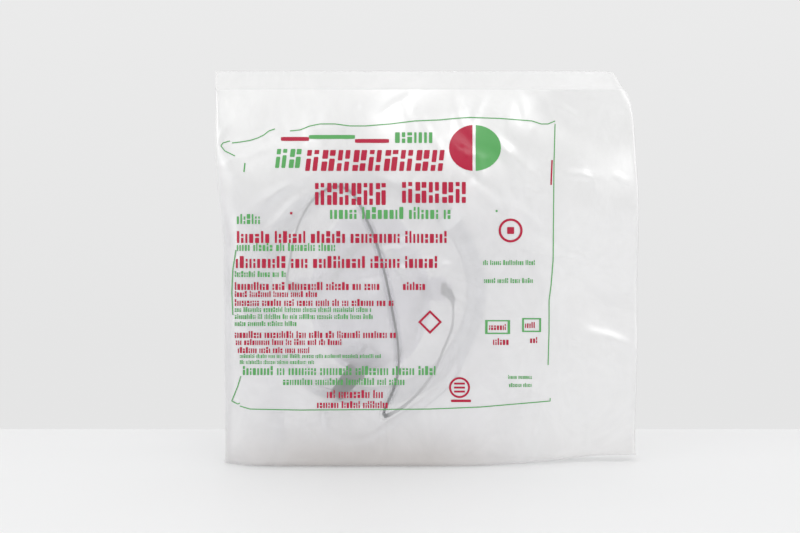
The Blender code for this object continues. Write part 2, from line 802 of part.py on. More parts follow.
# The lead's loop below the coil: (x, z) from the coil's middle, and its share of the way back to its lane
LEAD_LOOP = [
    ((-0.0264, -0.0700), 0.05),
    ((-0.0267, -0.0769), 0.20),
    ((-0.0240, -0.0833), 0.40),
    ((-0.0189, -0.0880), 0.60),
    ((-0.0123, -0.0900), 0.78),
    ((-0.0030, -0.0890), 0.92),
    ((0.0060, -0.0850), 1.0),
    ((0.0145, -0.0793), 1.0),
    ((0.0230, -0.0738), 1.0),
    ((0.0312, -0.0683), 1.0),
    ((0.0387, -0.0622), 1.0),
]


def lead_route():
    """The tube from the connector on the mask, in a loop below the coil, to its outside."""
    start, way = port_axis()
    length = PORT_LENGTH + CONNECTOR_BODY_LENGTH + 2 * GAP
    begin = MASK_PLACE + start + way * length
    leaving = begin + way * LEAD_STRAIGHT
    lane = COIL_MIDDLE_Y - TUBE_DIAMETER
    route = [begin, leaving]
    for (x, z), share in LEAD_LOOP:
        y = leaving.y + (lane - leaving.y) * share
        route.append(Vector((CENTRE_X + x, y, CENTRE_Z + z)))
    return route


# The tail round the coil: angle, distance from the coil's outside, and lane behind the coil's middle
TAIL_ARC = [
    (100, 0.0, 1.0),
    (118, 0.002, 0.9),
    (138, 0.006, 0.6),
    (158, 0.003, 0.25),
    (178, 0.001, 0.05),
    (198, 0.0006, 0.0),
]


def tail_route():
    """The tube from the top of the coil round its left side to the funnel."""
    reach = COIL_DIAMETER / 2 + TUBE_DIAMETER / 2 + GAP
    route = []
    for angle, spare, lane in TAIL_ARC:
        turn = math.radians(angle)
        way = Vector((math.cos(turn), 0, math.sin(turn)))
        depth = COIL_MIDDLE_Y + lane * TUBE_DIAMETER
        route.append(CENTRE + way * (reach + spare) + Vector((0, depth, 0)))
    end = funnel_place()
    for x, z in ((-0.0066, 0.0260), (-0.0012, 0.0130), (0, 0.0050), (0, 0)):
        route.append(end + Vector((x, 0, z)))
    return route


def funnel_place():
    """Where the tube meets the funnel, which stands on the base."""
    return Vector((CENTRE_X - 0.056, COIL_MIDDLE_Y, FILM + 2 * GAP + FUNNEL_LENGTH))


def make_funnel(parts, finish):
    """Soft funnel connector for the oxygen supply, mouth down."""
    tip = TUBE_DIAMETER / 2 + FUNNEL_WALL
    bore = TUBE_DIAMETER / 2 - 0.0012
    mouth = FUNNEL_RADIUS - FUNNEL_WALL
    profile = [
        (tip, 0.0),
        (tip, -0.010),
        (FUNNEL_RADIUS - 0.0008, -0.018),
        (FUNNEL_RADIUS, -FUNNEL_LENGTH + 0.002),
        (FUNNEL_RADIUS, -FUNNEL_LENGTH),
        (mouth, -FUNNEL_LENGTH),
        (mouth - 0.0006, -0.019),
        (bore, -0.012),
        (bore, 0.0),
    ]
    made = turned("supply_funnel", profile, 20, parts, finish)
    made.location = funnel_place() - Vector((0, 0, GAP))
    return made


def make_tie(parts, finish):
    """Film band round the coil."""
    half_wide = COIL_WIDE / 2 + GAP
    half_deep = COIL_DEEP / 2 + GAP
    curve = bpy.data.curves.new("coil_tie", "CURVE")
    curve.dimensions = "2D"
    curve.fill_mode = "BOTH"
    curve.extrude = TIE_WIDTH / 2
    for grow in (0.0, TIE_THICK):
        points = ring_profile(-half_wide - grow, half_wide + grow, half_deep + grow, 0.0022 + grow)
        spline = curve.splines.new("POLY")
        spline.points.add(len(points) - 1)
        for point, (across_tie, deep) in zip(spline.points, points):
            point.co = (across_tie, deep, 0, 1)
        spline.use_cyclic_u = True
    made = add_object("coil_tie", curve, parts, finish)
    away = Vector((math.cos(TIE_ANGLE), 0, math.sin(TIE_ANGLE)))
    deep = Vector((0, 1, 0))
    turn = Matrix((away, deep, away.cross(deep))).transposed()
    made.location = CENTRE + away * (COIL_DIAMETER - COIL_WIDE) / 2 + deep * COIL_MIDDLE_Y
    made.rotation_mode = "QUATERNION"
    made.rotation_quaternion = turn.to_quaternion()
    return made


def main():
    """Clears the scene and makes the pack."""
    for old in list(bpy.data.objects):
        bpy.data.objects.remove(old)
    scene = bpy.context.scene
    parts = bpy.data.collections.new("oxygen_mask_pack")
    cutters = bpy.data.collections.new("cutters")
    scene.collection.children.link(parts)
    scene.collection.children.link(cutters)

    film = material("clear_film", (0.93, 0.95, 0.96), 0.12, alpha=0.25)
    shell = material("clear_pvc", (0.82, 0.84, 0.90), 0.25, alpha=0.45)
    green = material("grey_green_plastic", (0.20, 0.30, 0.22), 0.40)
    tubing = material("tubing_pvc", (0.82, 0.85, 0.93), 0.25, alpha=0.5)
    metal = material("soft_aluminium", (0.80, 0.81, 0.82), 0.35, metallic=1.0)
    elastic = material("elastic", (0.55, 0.57, 0.56), 0.80)
    band = material("tie_film", (0.88, 0.90, 0.92), 0.30)

    frame = add_object("mask_frame", None, parts)
    frame.location = MASK_PLACE

    make_pouch(parts, film)
    make_mask(parts, cutters, frame, shell)
    make_clip(parts, frame, metal)
    make_connector(parts, frame, green)
    make_strap(parts, cutters, elastic)
    make_coil(parts, tubing)
    tube("tube_lead", lead_route(), parts, tubing)
    tube("tube_tail", tail_route(), parts, tubing)
    make_funnel(parts, tubing)
    make_tie(parts, band)


main()
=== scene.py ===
"""A child's oxygen face mask with its strap and coiled tube, sealed in a clear printed film pouch.

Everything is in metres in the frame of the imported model: X to the right across the printed front,
Y from the front film to the back film, Z up from the base that the pouch stands on.
"""

import math
import random
from contextlib import contextmanager

import bmesh
import bpy
import numpy as np
from mathutils import Matrix, Vector
from mathutils.bvhtree import BVHTree


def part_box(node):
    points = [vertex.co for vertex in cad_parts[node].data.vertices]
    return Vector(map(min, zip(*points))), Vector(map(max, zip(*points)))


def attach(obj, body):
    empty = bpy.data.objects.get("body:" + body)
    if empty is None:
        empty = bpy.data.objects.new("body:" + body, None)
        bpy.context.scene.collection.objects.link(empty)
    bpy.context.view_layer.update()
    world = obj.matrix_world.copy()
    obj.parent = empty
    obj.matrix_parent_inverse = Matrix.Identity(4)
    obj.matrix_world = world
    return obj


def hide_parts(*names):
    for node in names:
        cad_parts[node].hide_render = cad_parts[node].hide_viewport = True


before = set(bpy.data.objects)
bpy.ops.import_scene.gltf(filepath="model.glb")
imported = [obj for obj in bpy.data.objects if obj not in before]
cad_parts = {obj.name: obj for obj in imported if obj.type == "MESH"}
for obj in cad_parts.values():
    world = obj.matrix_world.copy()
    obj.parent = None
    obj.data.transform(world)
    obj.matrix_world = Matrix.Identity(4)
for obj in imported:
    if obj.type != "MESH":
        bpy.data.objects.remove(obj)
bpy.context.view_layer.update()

BODY = "root"

# The photograph's frame, and the point of it that is the middle of the pouch's base
PHOTO_WIDTH, PHOTO_HEIGHT = 800, 533
METRES_PER_PIXEL = 0.0006
FOOT_PIXEL = (431, 466)
FOOT_Y = -0.012
LENS, SENSOR = 85, 36
ELEVATION = math.radians(6)
TABLE_END_Y = 0.109

# Pouch film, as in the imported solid
HALF_WIDTH = 0.125
POUCH_HEIGHT = 0.236
WELD_WIDTH = 0.010
WELD_RUN = 0.0012
FILM = 0.00012
HALF_FOLD = 0.0005
FRONT_BULGE = 0.01964
BACK_BULGE = 0.0165
BASE_ROUND = 0.005
SIDE_ROUND = 0.036
RIGHT_ROUND = 0.006
MARGIN_SHARE = 0.05
TOP_DRAW = 0.030
RIGHT_LIFT = 0.004
VENT_RADIUS = 0.004
BACK_FILM_LEFT, BACK_FILM_RIGHT = 0.0048, 0.0008  # depths beyond which the film is the back one
COIL_TO_BASE = 0.034
WELD_FOOT = POUCH_HEIGHT - WELD_WIDTH - WELD_RUN
CENTRE = Vector((-0.037, 0, 0.104))
FALL_START, FALL_END = 0.015, 0.095
BULGE_PEAK = 0.092
BACK_SHOULDER = 0.160
FRONT_FOOT, FRONT_RISE = 0.86, 0.14  # share of the bulge at the base, and what comes on above
BACK_FOOT, BACK_RISE = 0.94, 0.06
FRONT_FALL, BACK_FALL = 2.2, 1.8  # how full the bulge stays towards the weld
WELD_FOLD, WELD_FOLD_PITCH = 0.0016, 0.044
BASE_FOLD, BASE_FOLD_PITCH = 0.0015, 0.052
SIDE_FOLD, SIDE_FOLD_PITCH = 0.0013, 0.047
SLOPE_FOLD, SLOPE_FOLD_PITCH = 0.0021, 0.045
MARGIN_SWAY, MARGIN_SWAY_PITCH = 0.0024, 0.092
TOP_SWAY, TOP_SWAY_PITCH = 0.0017, 0.118

# Curled upper right corner, and how far the upper left corner reaches out
CURL_START = Vector((0.1030, 0.2360))
CURL_WAY = Vector((0.884, 0.468))
CURL_RADIUS = 0.0062
CURL_LIMIT = 2.3
CORNER_REACH = 0.007

# The film's own mesh, and how it buckles
FILM_COLUMNS, FILM_ROWS = 108, 98
FRONT_FOOT_LINE, BACK_FOOT_LINE = FILM_ROWS + 3, FILM_ROWS + 12  # lines where the faces meet the base
FILM_GAP = 0.0005
EDGE = 0.0008
BUCKLE_FRAMES = 14
BUCKLE_GROWTH = 0.030
BUCKLE_LIMIT = 0.0032
LIGHT_HOLD = 0.04
KEEP_OFF = 0.0005
LEAST_MOVE = 0.0001
MERGE_FILM, MERGE_PIECE = 0.000003, 0.00001

# How far from the film a piece shows clear, the dark connector longest, and where haze hides the strap
TOUCH_NEAR, TOUCH_FAR = 0.0005, 0.0032
DARK_PART_FAR = 0.0200
HAZY_ACROSS = (-0.021, -0.010, 0.026, 0.040)
HAZY_TOP, HAZY_FADE = 0.112, 0.028
HAZY_SHARE = 0.75

# Tube
TUBE_DIAMETER = 0.0058
COIL_RADIUS = 0.070
COIL_MIDDLE_Y = 0.0017
TURN_STEP = math.radians(4)
LANE_LENGTH = math.radians(330)
LANE_RAMP = math.radians(30)
COIL_ENTRY, COIL_LEAVE = math.radians(302), math.radians(100 + 5 * 360)
LEAD_STRAIGHT = 0.005
ROUTE_STEP = 0.002
OUTSIDE = COIL_RADIUS + TUBE_DIAMETER / 2 + 0.0003

# Route of the tube before and after the coil: places from the coil's middle, and shares of the way
CONNECTOR_END = Vector((-0.05702, -0.01359, 0.04274))
CONNECTOR_WAY = Vector((-0.633, -0.1736, -0.7544))
LEAD_LOOP = [
    ((-0.0264, -0.0700), 0.05), ((-0.0267, -0.0769), 0.20), ((-0.0240, -0.0833), 0.40),
    ((-0.0189, -0.0880), 0.60), ((-0.0123, -0.0900), 0.78), ((-0.0030, -0.0890), 0.92),
    ((0.0060, -0.0850), 1.0), ((0.0145, -0.0793), 1.0), ((0.0230, -0.0738), 1.0),
    ((0.0312, -0.0683), 1.0),
]
TAIL_ARC = [(118, 0.002, 0.9), (138, 0.006, 0.6), (158, 0.003, 0.25), (178, 0.001, 0.05), (198, 0.0006, 0.0)]
TAIL_END = [(-0.0066, 0.0260), (-0.0012, 0.0130), (0, 0.0050), (0, 0)]


# Camera


def make_camera():
    """Looks slightly down on the front, framed as in the photograph."""
    distance = PHOTO_WIDTH * METRES_PER_PIXEL * LENS / SENSOR
    up = Vector((0, math.sin(ELEVATION), math.cos(ELEVATION)))
    towards = Vector((0, -math.cos(ELEVATION), math.sin(ELEVATION)))
    right = (PHOTO_WIDTH / 2 - FOOT_PIXEL[0]) * METRES_PER_PIXEL
    rise = (FOOT_PIXEL[1] - PHOTO_HEIGHT / 2) * METRES_PER_PIXEL
    target = Vector((right, FOOT_Y, 0)) + up * rise
    bpy.ops.object.camera_add(location=target + towards * distance, rotation=(math.pi / 2 - ELEVATION, 0, 0))
    made = bpy.context.object
    made.name = "camera"
    made.data.lens = LENS
    made.data.sensor_width = SENSOR
    bpy.context.scene.camera = made
    return made


def pixel_ray(camera, across, down):
    """Where the camera's ray through a pixel starts, and its direction."""
    focal = PHOTO_WIDTH * LENS / SENSOR
    local = Vector((across - PHOTO_WIDTH / 2, PHOTO_HEIGHT / 2 - down, -focal))
    return camera.location, (camera.rotation_euler.to_matrix() @ local).normalized()


# Steps that many pieces share


def deselect_all():
    """Leaves nothing selected, so that the next step acts on its own piece alone."""
    bpy.ops.object.select_all(action="DESELECT")


def pick(*items):
    """Selects these pieces; the first is the active one."""
    deselect_all()
    for item in items:
        item.select_set(True)
    bpy.context.view_layer.objects.active = items[0]


def fresh(operator, **settings):
    """A new primitive, with nothing else selected."""
    deselect_all()
    operator(**settings)
    return bpy.context.object


def select_all():
    """Selects the whole mesh in edit mode."""
    bpy.ops.mesh.select_all(action="SELECT")


@contextmanager
def editing(item, whole=True):
    """Edit mode on one piece, with all of it selected unless its faces were picked before."""
    pick(item)
    bpy.ops.object.mode_set(mode="EDIT")
    if whole:
        select_all()
    yield
    bpy.ops.object.mode_set(mode="OBJECT")


def apply_modifiers(item):
    """Applies every modifier, in order."""
    pick(item)
    for modifier in list(item.modifiers):
        bpy.ops.object.modifier_apply(modifier=modifier.name)


def apply_place(item):
    """Puts the piece's place, turn and scale into its mesh."""
    pick(item)
    bpy.ops.object.transform_apply(location=True, rotation=True, scale=True)


def copy_of(item, name):
    """A copy of a piece with a mesh of its own."""
    made = item.copy()
    made.data = item.data.copy()
    made.name = name
    bpy.context.scene.collection.objects.link(made)
    return made


def joined(items, name, finish):
    """Several meshes as one piece."""
    pick(*items)
    bpy.ops.object.join()
    made = bpy.context.object
    made.name = name
    made.data.materials.clear()
    made.data.materials.append(finish)
    return made


def tree_of(item):
    """A search tree of a piece whose place is in its mesh."""
    bm = bmesh.new()
    bm.from_mesh(item.data)
    tree = BVHTree.FromBMesh(bm)
    bm.free()
    return tree


def ease(value):
    """A soft step from 0 to 1."""
    t = min(1.0, max(0.0, value))
    return t * t * (3 - 2 * t)


# The tube


def lane_place(lane):
    """(radius, depth) of a lane in the coil; the tube lies outside, inside, inside, outside and so on."""
    row, step = divmod(lane, 2)
    inner = step == 1 if row % 2 == 0 else step == 0
    radius = COIL_RADIUS - TUBE_DIAMETER / 2 - (TUBE_DIAMETER if inner else 0)
    return radius, COIL_MIDDLE_Y + (row - 1) * TUBE_DIAMETER


def round_coil(angle, radius, depth):
    """A place on the coil."""
    return CENTRE + Vector((radius * math.cos(angle), depth, radius * math.sin(angle)))


def coil_turns(entry, leave):
    """The coil's turns, counter-clockwise, with a soft change to the next lane near the end of each."""
    turns = []
    for k in range(int((leave - entry) / TURN_STEP) + 1):
        gone = k * TURN_STEP
        lane, within = divmod(gone, LANE_LENGTH)
        radius, depth = lane_place(int(lane))
        ahead, ahead_depth = lane_place(int(lane) + 1)
        ramp = ease((within - (LANE_LENGTH - LANE_RAMP)) / LANE_RAMP)
        radius += (ahead - radius) * ramp
        depth += (ahead_depth - depth) * ramp
        for run in (gone, leave - entry - gone):
            if run < LANE_RAMP:
                radius = OUTSIDE + (radius - OUTSIDE) * ease(run / LANE_RAMP)
        turns.append(round_coil(entry + gone, radius, depth))
    return turns


def tube_route(start, way, end):
    """All of the tube: the loop below the coil, the coil's turns, and the tail down to the funnel."""
    leaving = start + way * LEAD_STRAIGHT
    front_lane = COIL_MIDDLE_Y - TUBE_DIAMETER
    lead = [start, leaving]
    for (x, z), share in LEAD_LOOP:
        y = leaving.y + (front_lane - leaving.y) * share
        lead.append(Vector((CENTRE.x + x, y, CENTRE.z + z)))
    turns = coil_turns(COIL_ENTRY, COIL_LEAVE)
    tail = []
    for angle, spare, lane in TAIL_ARC:
        tail.append(round_coil(math.radians(angle), OUTSIDE + spare, COIL_MIDDLE_Y + lane * TUBE_DIAMETER))
    tail += [end + Vector((x, 0, z)) for x, z in TAIL_END]
    return smooth_route(lead + turns[:1])[:-1] + turns[:-1] + smooth_route(turns[-1:] + tail)


def smooth_route(route):
    """Points a route step apart along a smooth curve through the route's own points."""
    points = []
    ends = [route[0] * 2 - route[1]] + route + [route[-1] * 2 - route[-2]]
    for k in range(1, len(ends) - 2):
        before, start, end, after = ends[k - 1 : k + 3]
        count = max(1, round((end - start).length / ROUTE_STEP))
        for step in range(count):
            t = step / count
            bend = (2 * before - 5 * start + 4 * end - after) * t**2
            twist = (3 * start - before - 3 * end + after) * t**3
            points.append(0.5 * (2 * start + (end - before) * t + bend + twist))
    return points + [route[-1]]


def make_tube(finish):
    """Clear tubing on one long route."""
    low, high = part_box("supply_funnel")
    end = Vector(((low[0] + high[0]) / 2, COIL_MIDDLE_Y, high[2] + 0.0003))
    route = tube_route(CONNECTOR_END, CONNECTOR_WAY, end)
    curve = bpy.data.curves.new("oxygen_tube", "CURVE")
    curve.dimensions = "3D"
    curve.bevel_depth = TUBE_DIAMETER / 2
    curve.bevel_resolution = 4
    curve.use_fill_caps = True
    spline = curve.splines.new("POLY")
    spline.points.add(len(route) - 1)
    for point, place in zip(spline.points, route):
        point.co = (*place, 1)
    made = bpy.data.objects.new("oxygen_tube", curve)
    bpy.context.scene.collection.objects.link(made)
    made.data.materials.append(finish)
    return made, route


# Shader nodes


def connect(tree, node, values):
    """Links each named socket of a node to an output, or sets it to a constant."""
    for name, value in values.items():
        if isinstance(value, bpy.types.NodeSocket):
            tree.links.new(value, node.inputs[name])
        else:
            node.inputs[name].default_value = value


def add(tree, kind, values, output=None, **settings):
    """Adds a shader node and connects it; gives back the named output, or else the node."""
    node = tree.nodes.new("ShaderNode" + kind)
    for name, value in settings.items():
        setattr(node, name, value)
    connect(tree, node, values)
    return node.outputs[output] if output else node


def calculate(tree, operation, first, second=0.0):
    """One step of arithmetic."""
    return add(tree, "Math", {0: first, 1: second}, "Value", operation=operation)


def fit(tree, value, start, end, low, high, kind="LINEAR"):
    """Maps the values from start to end onto low to high."""
    ends = {"Value": value, "From Min": start, "From Max": end, "To Min": low, "To Max": high}
    return add(tree, "MapRange", ends, "Result", interpolation_type=kind)


def soft_fit(tree, value, start, end, low, high):
    """The same, with a soft start and end."""
    return fit(tree, value, start, end, low, high, "SMOOTHSTEP")


def mixed(tree, share, first, second):
    """A mix of two colours."""
    return add(tree, "Mix", {"Factor": share, "A": first, "B": second}, "Result", data_type="RGBA")


def raised(tree, height, strength, distance):
    """The normal of a surface that a height raises."""
    return add(tree, "Bump", {"Height": height, "Strength": strength, "Distance": distance}, "Normal")


def new_group(name, inputs, outputs):
    """An empty shader group, from its inputs with their defaults and its outputs with their kinds."""
    tree = bpy.data.node_groups.new(name, "ShaderNodeTree")
    for label, default in inputs.items():
        kind = "NodeSocketFloat" if isinstance(default, float) else "NodeSocketColor"
        tree.interface.new_socket(name=label, in_out="INPUT", socket_type=kind).default_value = default
    for label, kind in outputs.items():
        tree.interface.new_socket(name=label, in_out="OUTPUT", socket_type="NodeSocket" + kind)
    return tree, tree.nodes.new("NodeGroupInput").outputs, tree.nodes.new("NodeGroupOutput")


def make_plastic_group():
    """Soft uneven tint, fine surface grain and patchy gloss, as on moulded and drawn plastic."""
    inputs = {"Patch Scale": 40.0, "Grain Scale": 900.0, "Colour": (1, 1, 1, 1), "Shade": (0.8, 0.8, 0.8, 1)}
    outputs = {"Colour": "Color", "Height": "Float", "Patches": "Float"}
    tree, given, result = new_group("uneven_plastic", inputs, outputs)
    place = add(tree, "TexCoord", {}, "Object")
    patches = add(tree, "TexNoise", {"Vector": place, "Scale": given["Patch Scale"], "Detail": 4}, "Fac")
    grain = add(tree, "TexNoise", {"Vector": place, "Scale": given["Grain Scale"], "Detail": 2}, "Fac")
    tint = mixed(tree, patches, given["Colour"], given["Shade"])
    connect(tree, result, {"Colour": tint, "Height": grain, "Patches": patches})
    return tree


def make_thread_group():
    """Fine cords along Y bands crossed by short threads, as on braided elastic."""
    inputs = {"Cord Scale": 900.0, "Thread Scale": 1400.0}
    tree, given, result = new_group("braided_threads", inputs, {"Height": "Float"})
    place = add(tree, "TexCoord", {}, "Object")
    along = {"Vector": place, "Scale": given["Cord Scale"], "Distortion": 0.4}
    across = {"Vector": place, "Scale": given["Thread Scale"]}
    cords = add(tree, "TexWave", along, "Fac", bands_direction="Y")
    threads = add(tree, "TexWave", across, "Fac", bands_direction="DIAGONAL")
    connect(tree, result, {"Height": calculate(tree, "MULTIPLY", cords, threads)})
    return tree


def make_film_group():
    """Fine stretch marks, haze in patches, the ribs that the weld's jaws press into the film, and masks for
    painted shade where the film is near the base and over the contents."""
    inputs = {"Weld Foot": WELD_FOOT, "Rib Scale": 620.0}
    outputs = dict.fromkeys(("Height", "Haze", "Weld", "Base", "Contents Shade"), "Float")
    tree, given, result = new_group("film_marks", inputs, outputs)
    place = add(tree, "TexCoord", {}, "Object")
    parts = add(tree, "SeparateXYZ", {"Vector": place}).outputs
    off_middle = calculate(tree, "ABSOLUTE", calculate(tree, "ADD", parts["X"], -CENTRE.x))
    stretched = add(tree, "Mapping", {"Vector": place, "Scale": (1.0, 1.0, 0.25)}, "Vector")
    marks = add(tree, "TexNoise", {"Vector": stretched, "Scale": 170, "Detail": 5}, "Fac")
    haze = add(tree, "TexNoise", {"Vector": place, "Scale": 26, "Detail": 6, "Distortion": 0.8}, "Fac")
    ribs = add(tree, "TexWave", {"Vector": place, "Scale": given["Rib Scale"]}, "Fac", bands_direction="Z")
    weld = calculate(tree, "GREATER_THAN", parts["Z"], given["Weld Foot"])
    # Masks for painted shade: brown shade near the base under the contents, and grey shade over the contents
    # that fades out up the upper slope, where the film faces the top light.
    low = soft_fit(tree, parts["Z"], 0.001, 0.030, 1, 0)
    narrow = soft_fit(tree, off_middle, 0.030, 0.105, 1, 0.2)
    below_slope = soft_fit(tree, parts["Z"], 0.135, 0.200, 1, 0)
    over_contents = soft_fit(tree, off_middle, 0.050, 0.130, 1, 0.35)
    found = {
        "Height": calculate(tree, "ADD", marks, calculate(tree, "MULTIPLY", ribs, weld)),
        "Haze": haze,
        "Weld": weld,
        "Base": calculate(tree, "MULTIPLY", low, narrow),
        "Contents Shade": calculate(tree, "MULTIPLY", below_slope, over_contents),
    }
    connect(tree, result, found)
    return tree


# Materials


def plastic(name, colour, shade, roughness, bump, patch=40, grain=900, metallic=0.0, clear=0.0):
    """A Principled material over the uneven plastic group."""
    made = bpy.data.materials.new(name)
    made.use_nodes = True
    tree = made.node_tree
    tint = {"Patch Scale": patch, "Grain Scale": grain, "Colour": (*colour, 1), "Shade": (*shade, 1)}
    surface = add(tree, "Group", tint, name="surface", node_tree=UNEVEN_PLASTIC).outputs
    looks = {
        "Metallic": metallic,
        "Transmission Weight": clear,
        "IOR": 1.45,
        "Base Color": surface["Colour"],
        "Roughness": fit(tree, surface["Patches"], 0, 1, roughness * 0.8, roughness * 1.25),
        "Normal": raised(tree, surface["Height"], bump, 0.0004),
    }
    connect(tree, tree.nodes["Principled BSDF"], looks)
    return made


def make_clear_film():
    """Thin glossy film: it shows what is behind it, and mirrors more the more it turns away. Its colour
    carries painted shade: greyer over the contents, and brown and more opaque near the base.
    """
    made = plastic("clear_film", (0.965, 0.965, 0.962), (0.93, 0.93, 0.927), 0.31, 0.0, metallic=0.5)
    tree = made.node_tree
    marks = add(tree, "Group", {}, node_tree=FILM_MARKS).outputs
    normal = raised(tree, marks["Height"], 0.22, 0.0005)
    # Painted shade: the film's colour is greyer over the contents, fading out up the upper slope.
    painted_contents_shade = mixed(tree, marks["Contents Shade"], tree.nodes["surface"].outputs["Colour"], (0.885, 0.88, 0.895, 1))
    # Painted shade near the base under the contents: a share of brown mixed into the film's colour.
    base_shade_share = calculate(tree, "MULTIPLY", marks["Base"], 0.72)
    turned_away = add(tree, "Fresnel", {"IOR": 1.50, "Normal": normal}, "Fac")
    mirror = fit(tree, turned_away, 0.03, 0.50, 0.11, 0.44)
    hazy = fit(tree, marks["Haze"], 0.35, 0.70, 0, 0.13)
    welded = calculate(tree, "MULTIPLY", marks["Weld"], -0.18)
    touch = add(tree, "Attribute", {}, "Fac", attribute_name="touch")
    veil = fit(tree, touch, 0, 1, 0.46, 0.155)
    # More opacity near the base, part of the same painted shade.
    shaded = calculate(tree, "MULTIPLY", marks["Base"], 0.28)
    cover = mirror
    for more in (hazy, welded, veil, shaded):
        cover = calculate(tree, "ADD", cover, more)
    path = add(tree, "LightPath", {}).outputs
    light_only = calculate(tree, "MAXIMUM", path["Is Shadow Ray"], path["Is Diffuse Ray"])
    let_by = fit(tree, light_only, 0, 1, 1, 0.30)
    looks = {
        # The brown mixed in here is painted shade near the base.
        "Base Color": mixed(tree, base_shade_share, painted_contents_shade, (0.60, 0.565, 0.54, 1)),
        "Metallic": fit(tree, marks["Weld"], 0, 1, 0.5, 0.25),
        "Alpha": calculate(tree, "MULTIPLY", cover, let_by),
        "Normal": normal,
    }
    connect(tree, tree.nodes["Principled BSDF"], looks)
    return made


def make_elastic():
    """Braided elastic."""
    made = plastic("elastic", (0.09, 0.098, 0.10), (0.055, 0.06, 0.062), 0.85, 0.0, patch=220)
    tree = made.node_tree
    threads = add(tree, "Group", {}, "Height", node_tree=BRAIDED_THREADS)
    connect(tree, tree.nodes["Principled BSDF"], {"Normal": raised(tree, threads, 0.8, 0.0002)})
    return made


# The film


def soft_step(value):
    """The soft step for an array."""
    t = np.clip(value, 0, 1)
    return t * t * (3 - 2 * t)


def band(value, start, full, fade, end):
    """1 from full to fade, coming in from start and dying out at end."""
    return soft_step((value - start) / (full - start)) * (1 - soft_step((value - fade) / (end - fade)))


def ripple(turns, start):
    """A ripple between 0 and 1."""
    return 0.5 + 0.5 * np.cos(math.tau * turns + start)


def film_depth(x, z, side):
    """Y of the film's face, at the front for side -1 and at the back for side 1, and the sway of both."""
    left = np.clip((x + HALF_WIDTH) / SIDE_ROUND, 0, 1)
    right = np.clip((HALF_WIDTH - x) / RIGHT_ROUND, 0, 1)
    fall = soft_step((x - FALL_START) / (FALL_END - FALL_START))
    across = np.sqrt(1 - (1 - left) ** 2) * np.sqrt(1 - (1 - right) ** 2) * (1 - (1 - MARGIN_SHARE) * fall)
    if side < 0:
        over = np.clip((z - BULGE_PEAK) / (WELD_FOOT - BULGE_PEAK), 0, 1)
        near_foot = FRONT_FOOT + FRONT_RISE * soft_step(z / BULGE_PEAK)
        rise = np.where(z < BULGE_PEAK, near_foot, 1 - over**FRONT_FALL)
        bulge = FRONT_BULGE * across * rise
    else:
        over = np.clip((z - BACK_SHOULDER) / (WELD_FOOT - BACK_SHOULDER), 0, 1)
        near_foot = BACK_FOOT + BACK_RISE * soft_step(z / COIL_TO_BASE)
        rise = np.where(z < BACK_SHOULDER, near_foot, 1 - over**BACK_FALL)
        bulge = BACK_BULGE * across * rise
    below_weld = 1 - soft_step((z - WELD_FOOT + 0.035) / 0.022)
    lean = 0.9 * side
    at_weld = band(z, BACK_SHOULDER, BACK_SHOULDER + 0.030, WELD_FOOT - 0.019, WELD_FOOT - 0.001)
    at_side = band(x + HALF_WIDTH, 0, 0.012, 0.014, 0.032) * below_weld
    on_slope = band(x, FALL_START + 0.009, FALL_START + 0.033, FALL_END, FALL_END + 0.019) * below_weld
    folds = WELD_FOLD * ripple(x / WELD_FOLD_PITCH, lean) * at_weld
    folds = folds + BASE_FOLD * ripple(x / BASE_FOLD_PITCH, 2.1 + lean) * band(z, 0, 0.012, 0.008, 0.038)
    folds = folds + SIDE_FOLD * ripple(z / SIDE_FOLD_PITCH, 0.7 - lean) * at_side
    folds = folds + SLOPE_FOLD * ripple((0.72 * x + 0.46 * z) / SLOPE_FOLD_PITCH, lean) * on_slope
    margin = soft_step((x - FALL_END + 0.037) / 0.050)
    top = soft_step((z - WELD_FOOT + 0.055) / 0.050)
    sway = MARGIN_SWAY * margin * np.sin(math.tau * z / MARGIN_SWAY_PITCH + 0.6)
    sway = sway + TOP_SWAY * top * np.sin(math.tau * x / TOP_SWAY_PITCH + 1.0)
    return sway + side * (HALF_FOLD + bulge + folds), sway


# Where creases lie: (x range), (z range), heading and its spread in degrees, count, height, half length
CREASE_ZONES = [
    ((-0.120, 0.115), (0.192, 0.223), 82, 22, 40, 0.0011, 0.014),
    ((-0.118, -0.060), (0.110, 0.200), 48, 24, 20, 0.0010, 0.020),
    ((-0.118, -0.070), (0.020, 0.110), -35, 26, 18, 0.0010, 0.018),
    ((-0.110, 0.100), (0.006, 0.034), 88, 20, 36, 0.0012, 0.012),
    ((0.010, 0.080), (0.040, 0.190), -42, 26, 34, 0.0014, 0.024),
    ((0.080, 0.122), (0.012, 0.215), -58, 26, 34, 0.0013, 0.017),
    ((-0.070, 0.010), (0.060, 0.175), 20, 50, 18, 0.0006, 0.018),
    ((-0.060, 0.060), (0.160, 0.200), 100, 32, 20, 0.0012, 0.020),
    ((-0.036, 0.006), (0.110, 0.137), 10, 26, 12, 0.0023, 0.012),
]


def film_creases(x, z, side):
    """Height of the film's creases: short roofs that radiate from what presses on the film."""
    rng = random.Random(11 if side < 0 else 29)
    height = np.zeros_like(x)
    for (x0, x1), (z0, z1), heading, spread, count, tall, long in CREASE_ZONES:
        for _ in range(count):
            middle_x, middle_z = rng.uniform(x0, x1), rng.uniform(z0, z1)
            angle = math.radians(heading + rng.gauss(0, spread))
            length = long * rng.uniform(0.5, 1.3)
            width = length * rng.uniform(0.12, 0.22)
            size = tall * rng.uniform(0.3, 1.0) * (1 if rng.random() < 0.72 else -0.6)
            along = (x - middle_x) * math.cos(angle) + (z - middle_z) * math.sin(angle)
            off = (z - middle_z) * math.cos(angle) - (x - middle_x) * math.sin(angle)
            off = off + 0.12 * along * along / length
            fade = np.clip(1 - (along / length) ** 2, 0, 1) ** 1.5
            height += size * fade * np.clip(1 - np.abs(off) / width, 0, 1) ** 1.4
    inside = soft_step((HALF_WIDTH - np.abs(x)) / 0.008) * soft_step((WELD_FOOT - z) / 0.006)
    return height * inside * soft_step(z / 0.006)


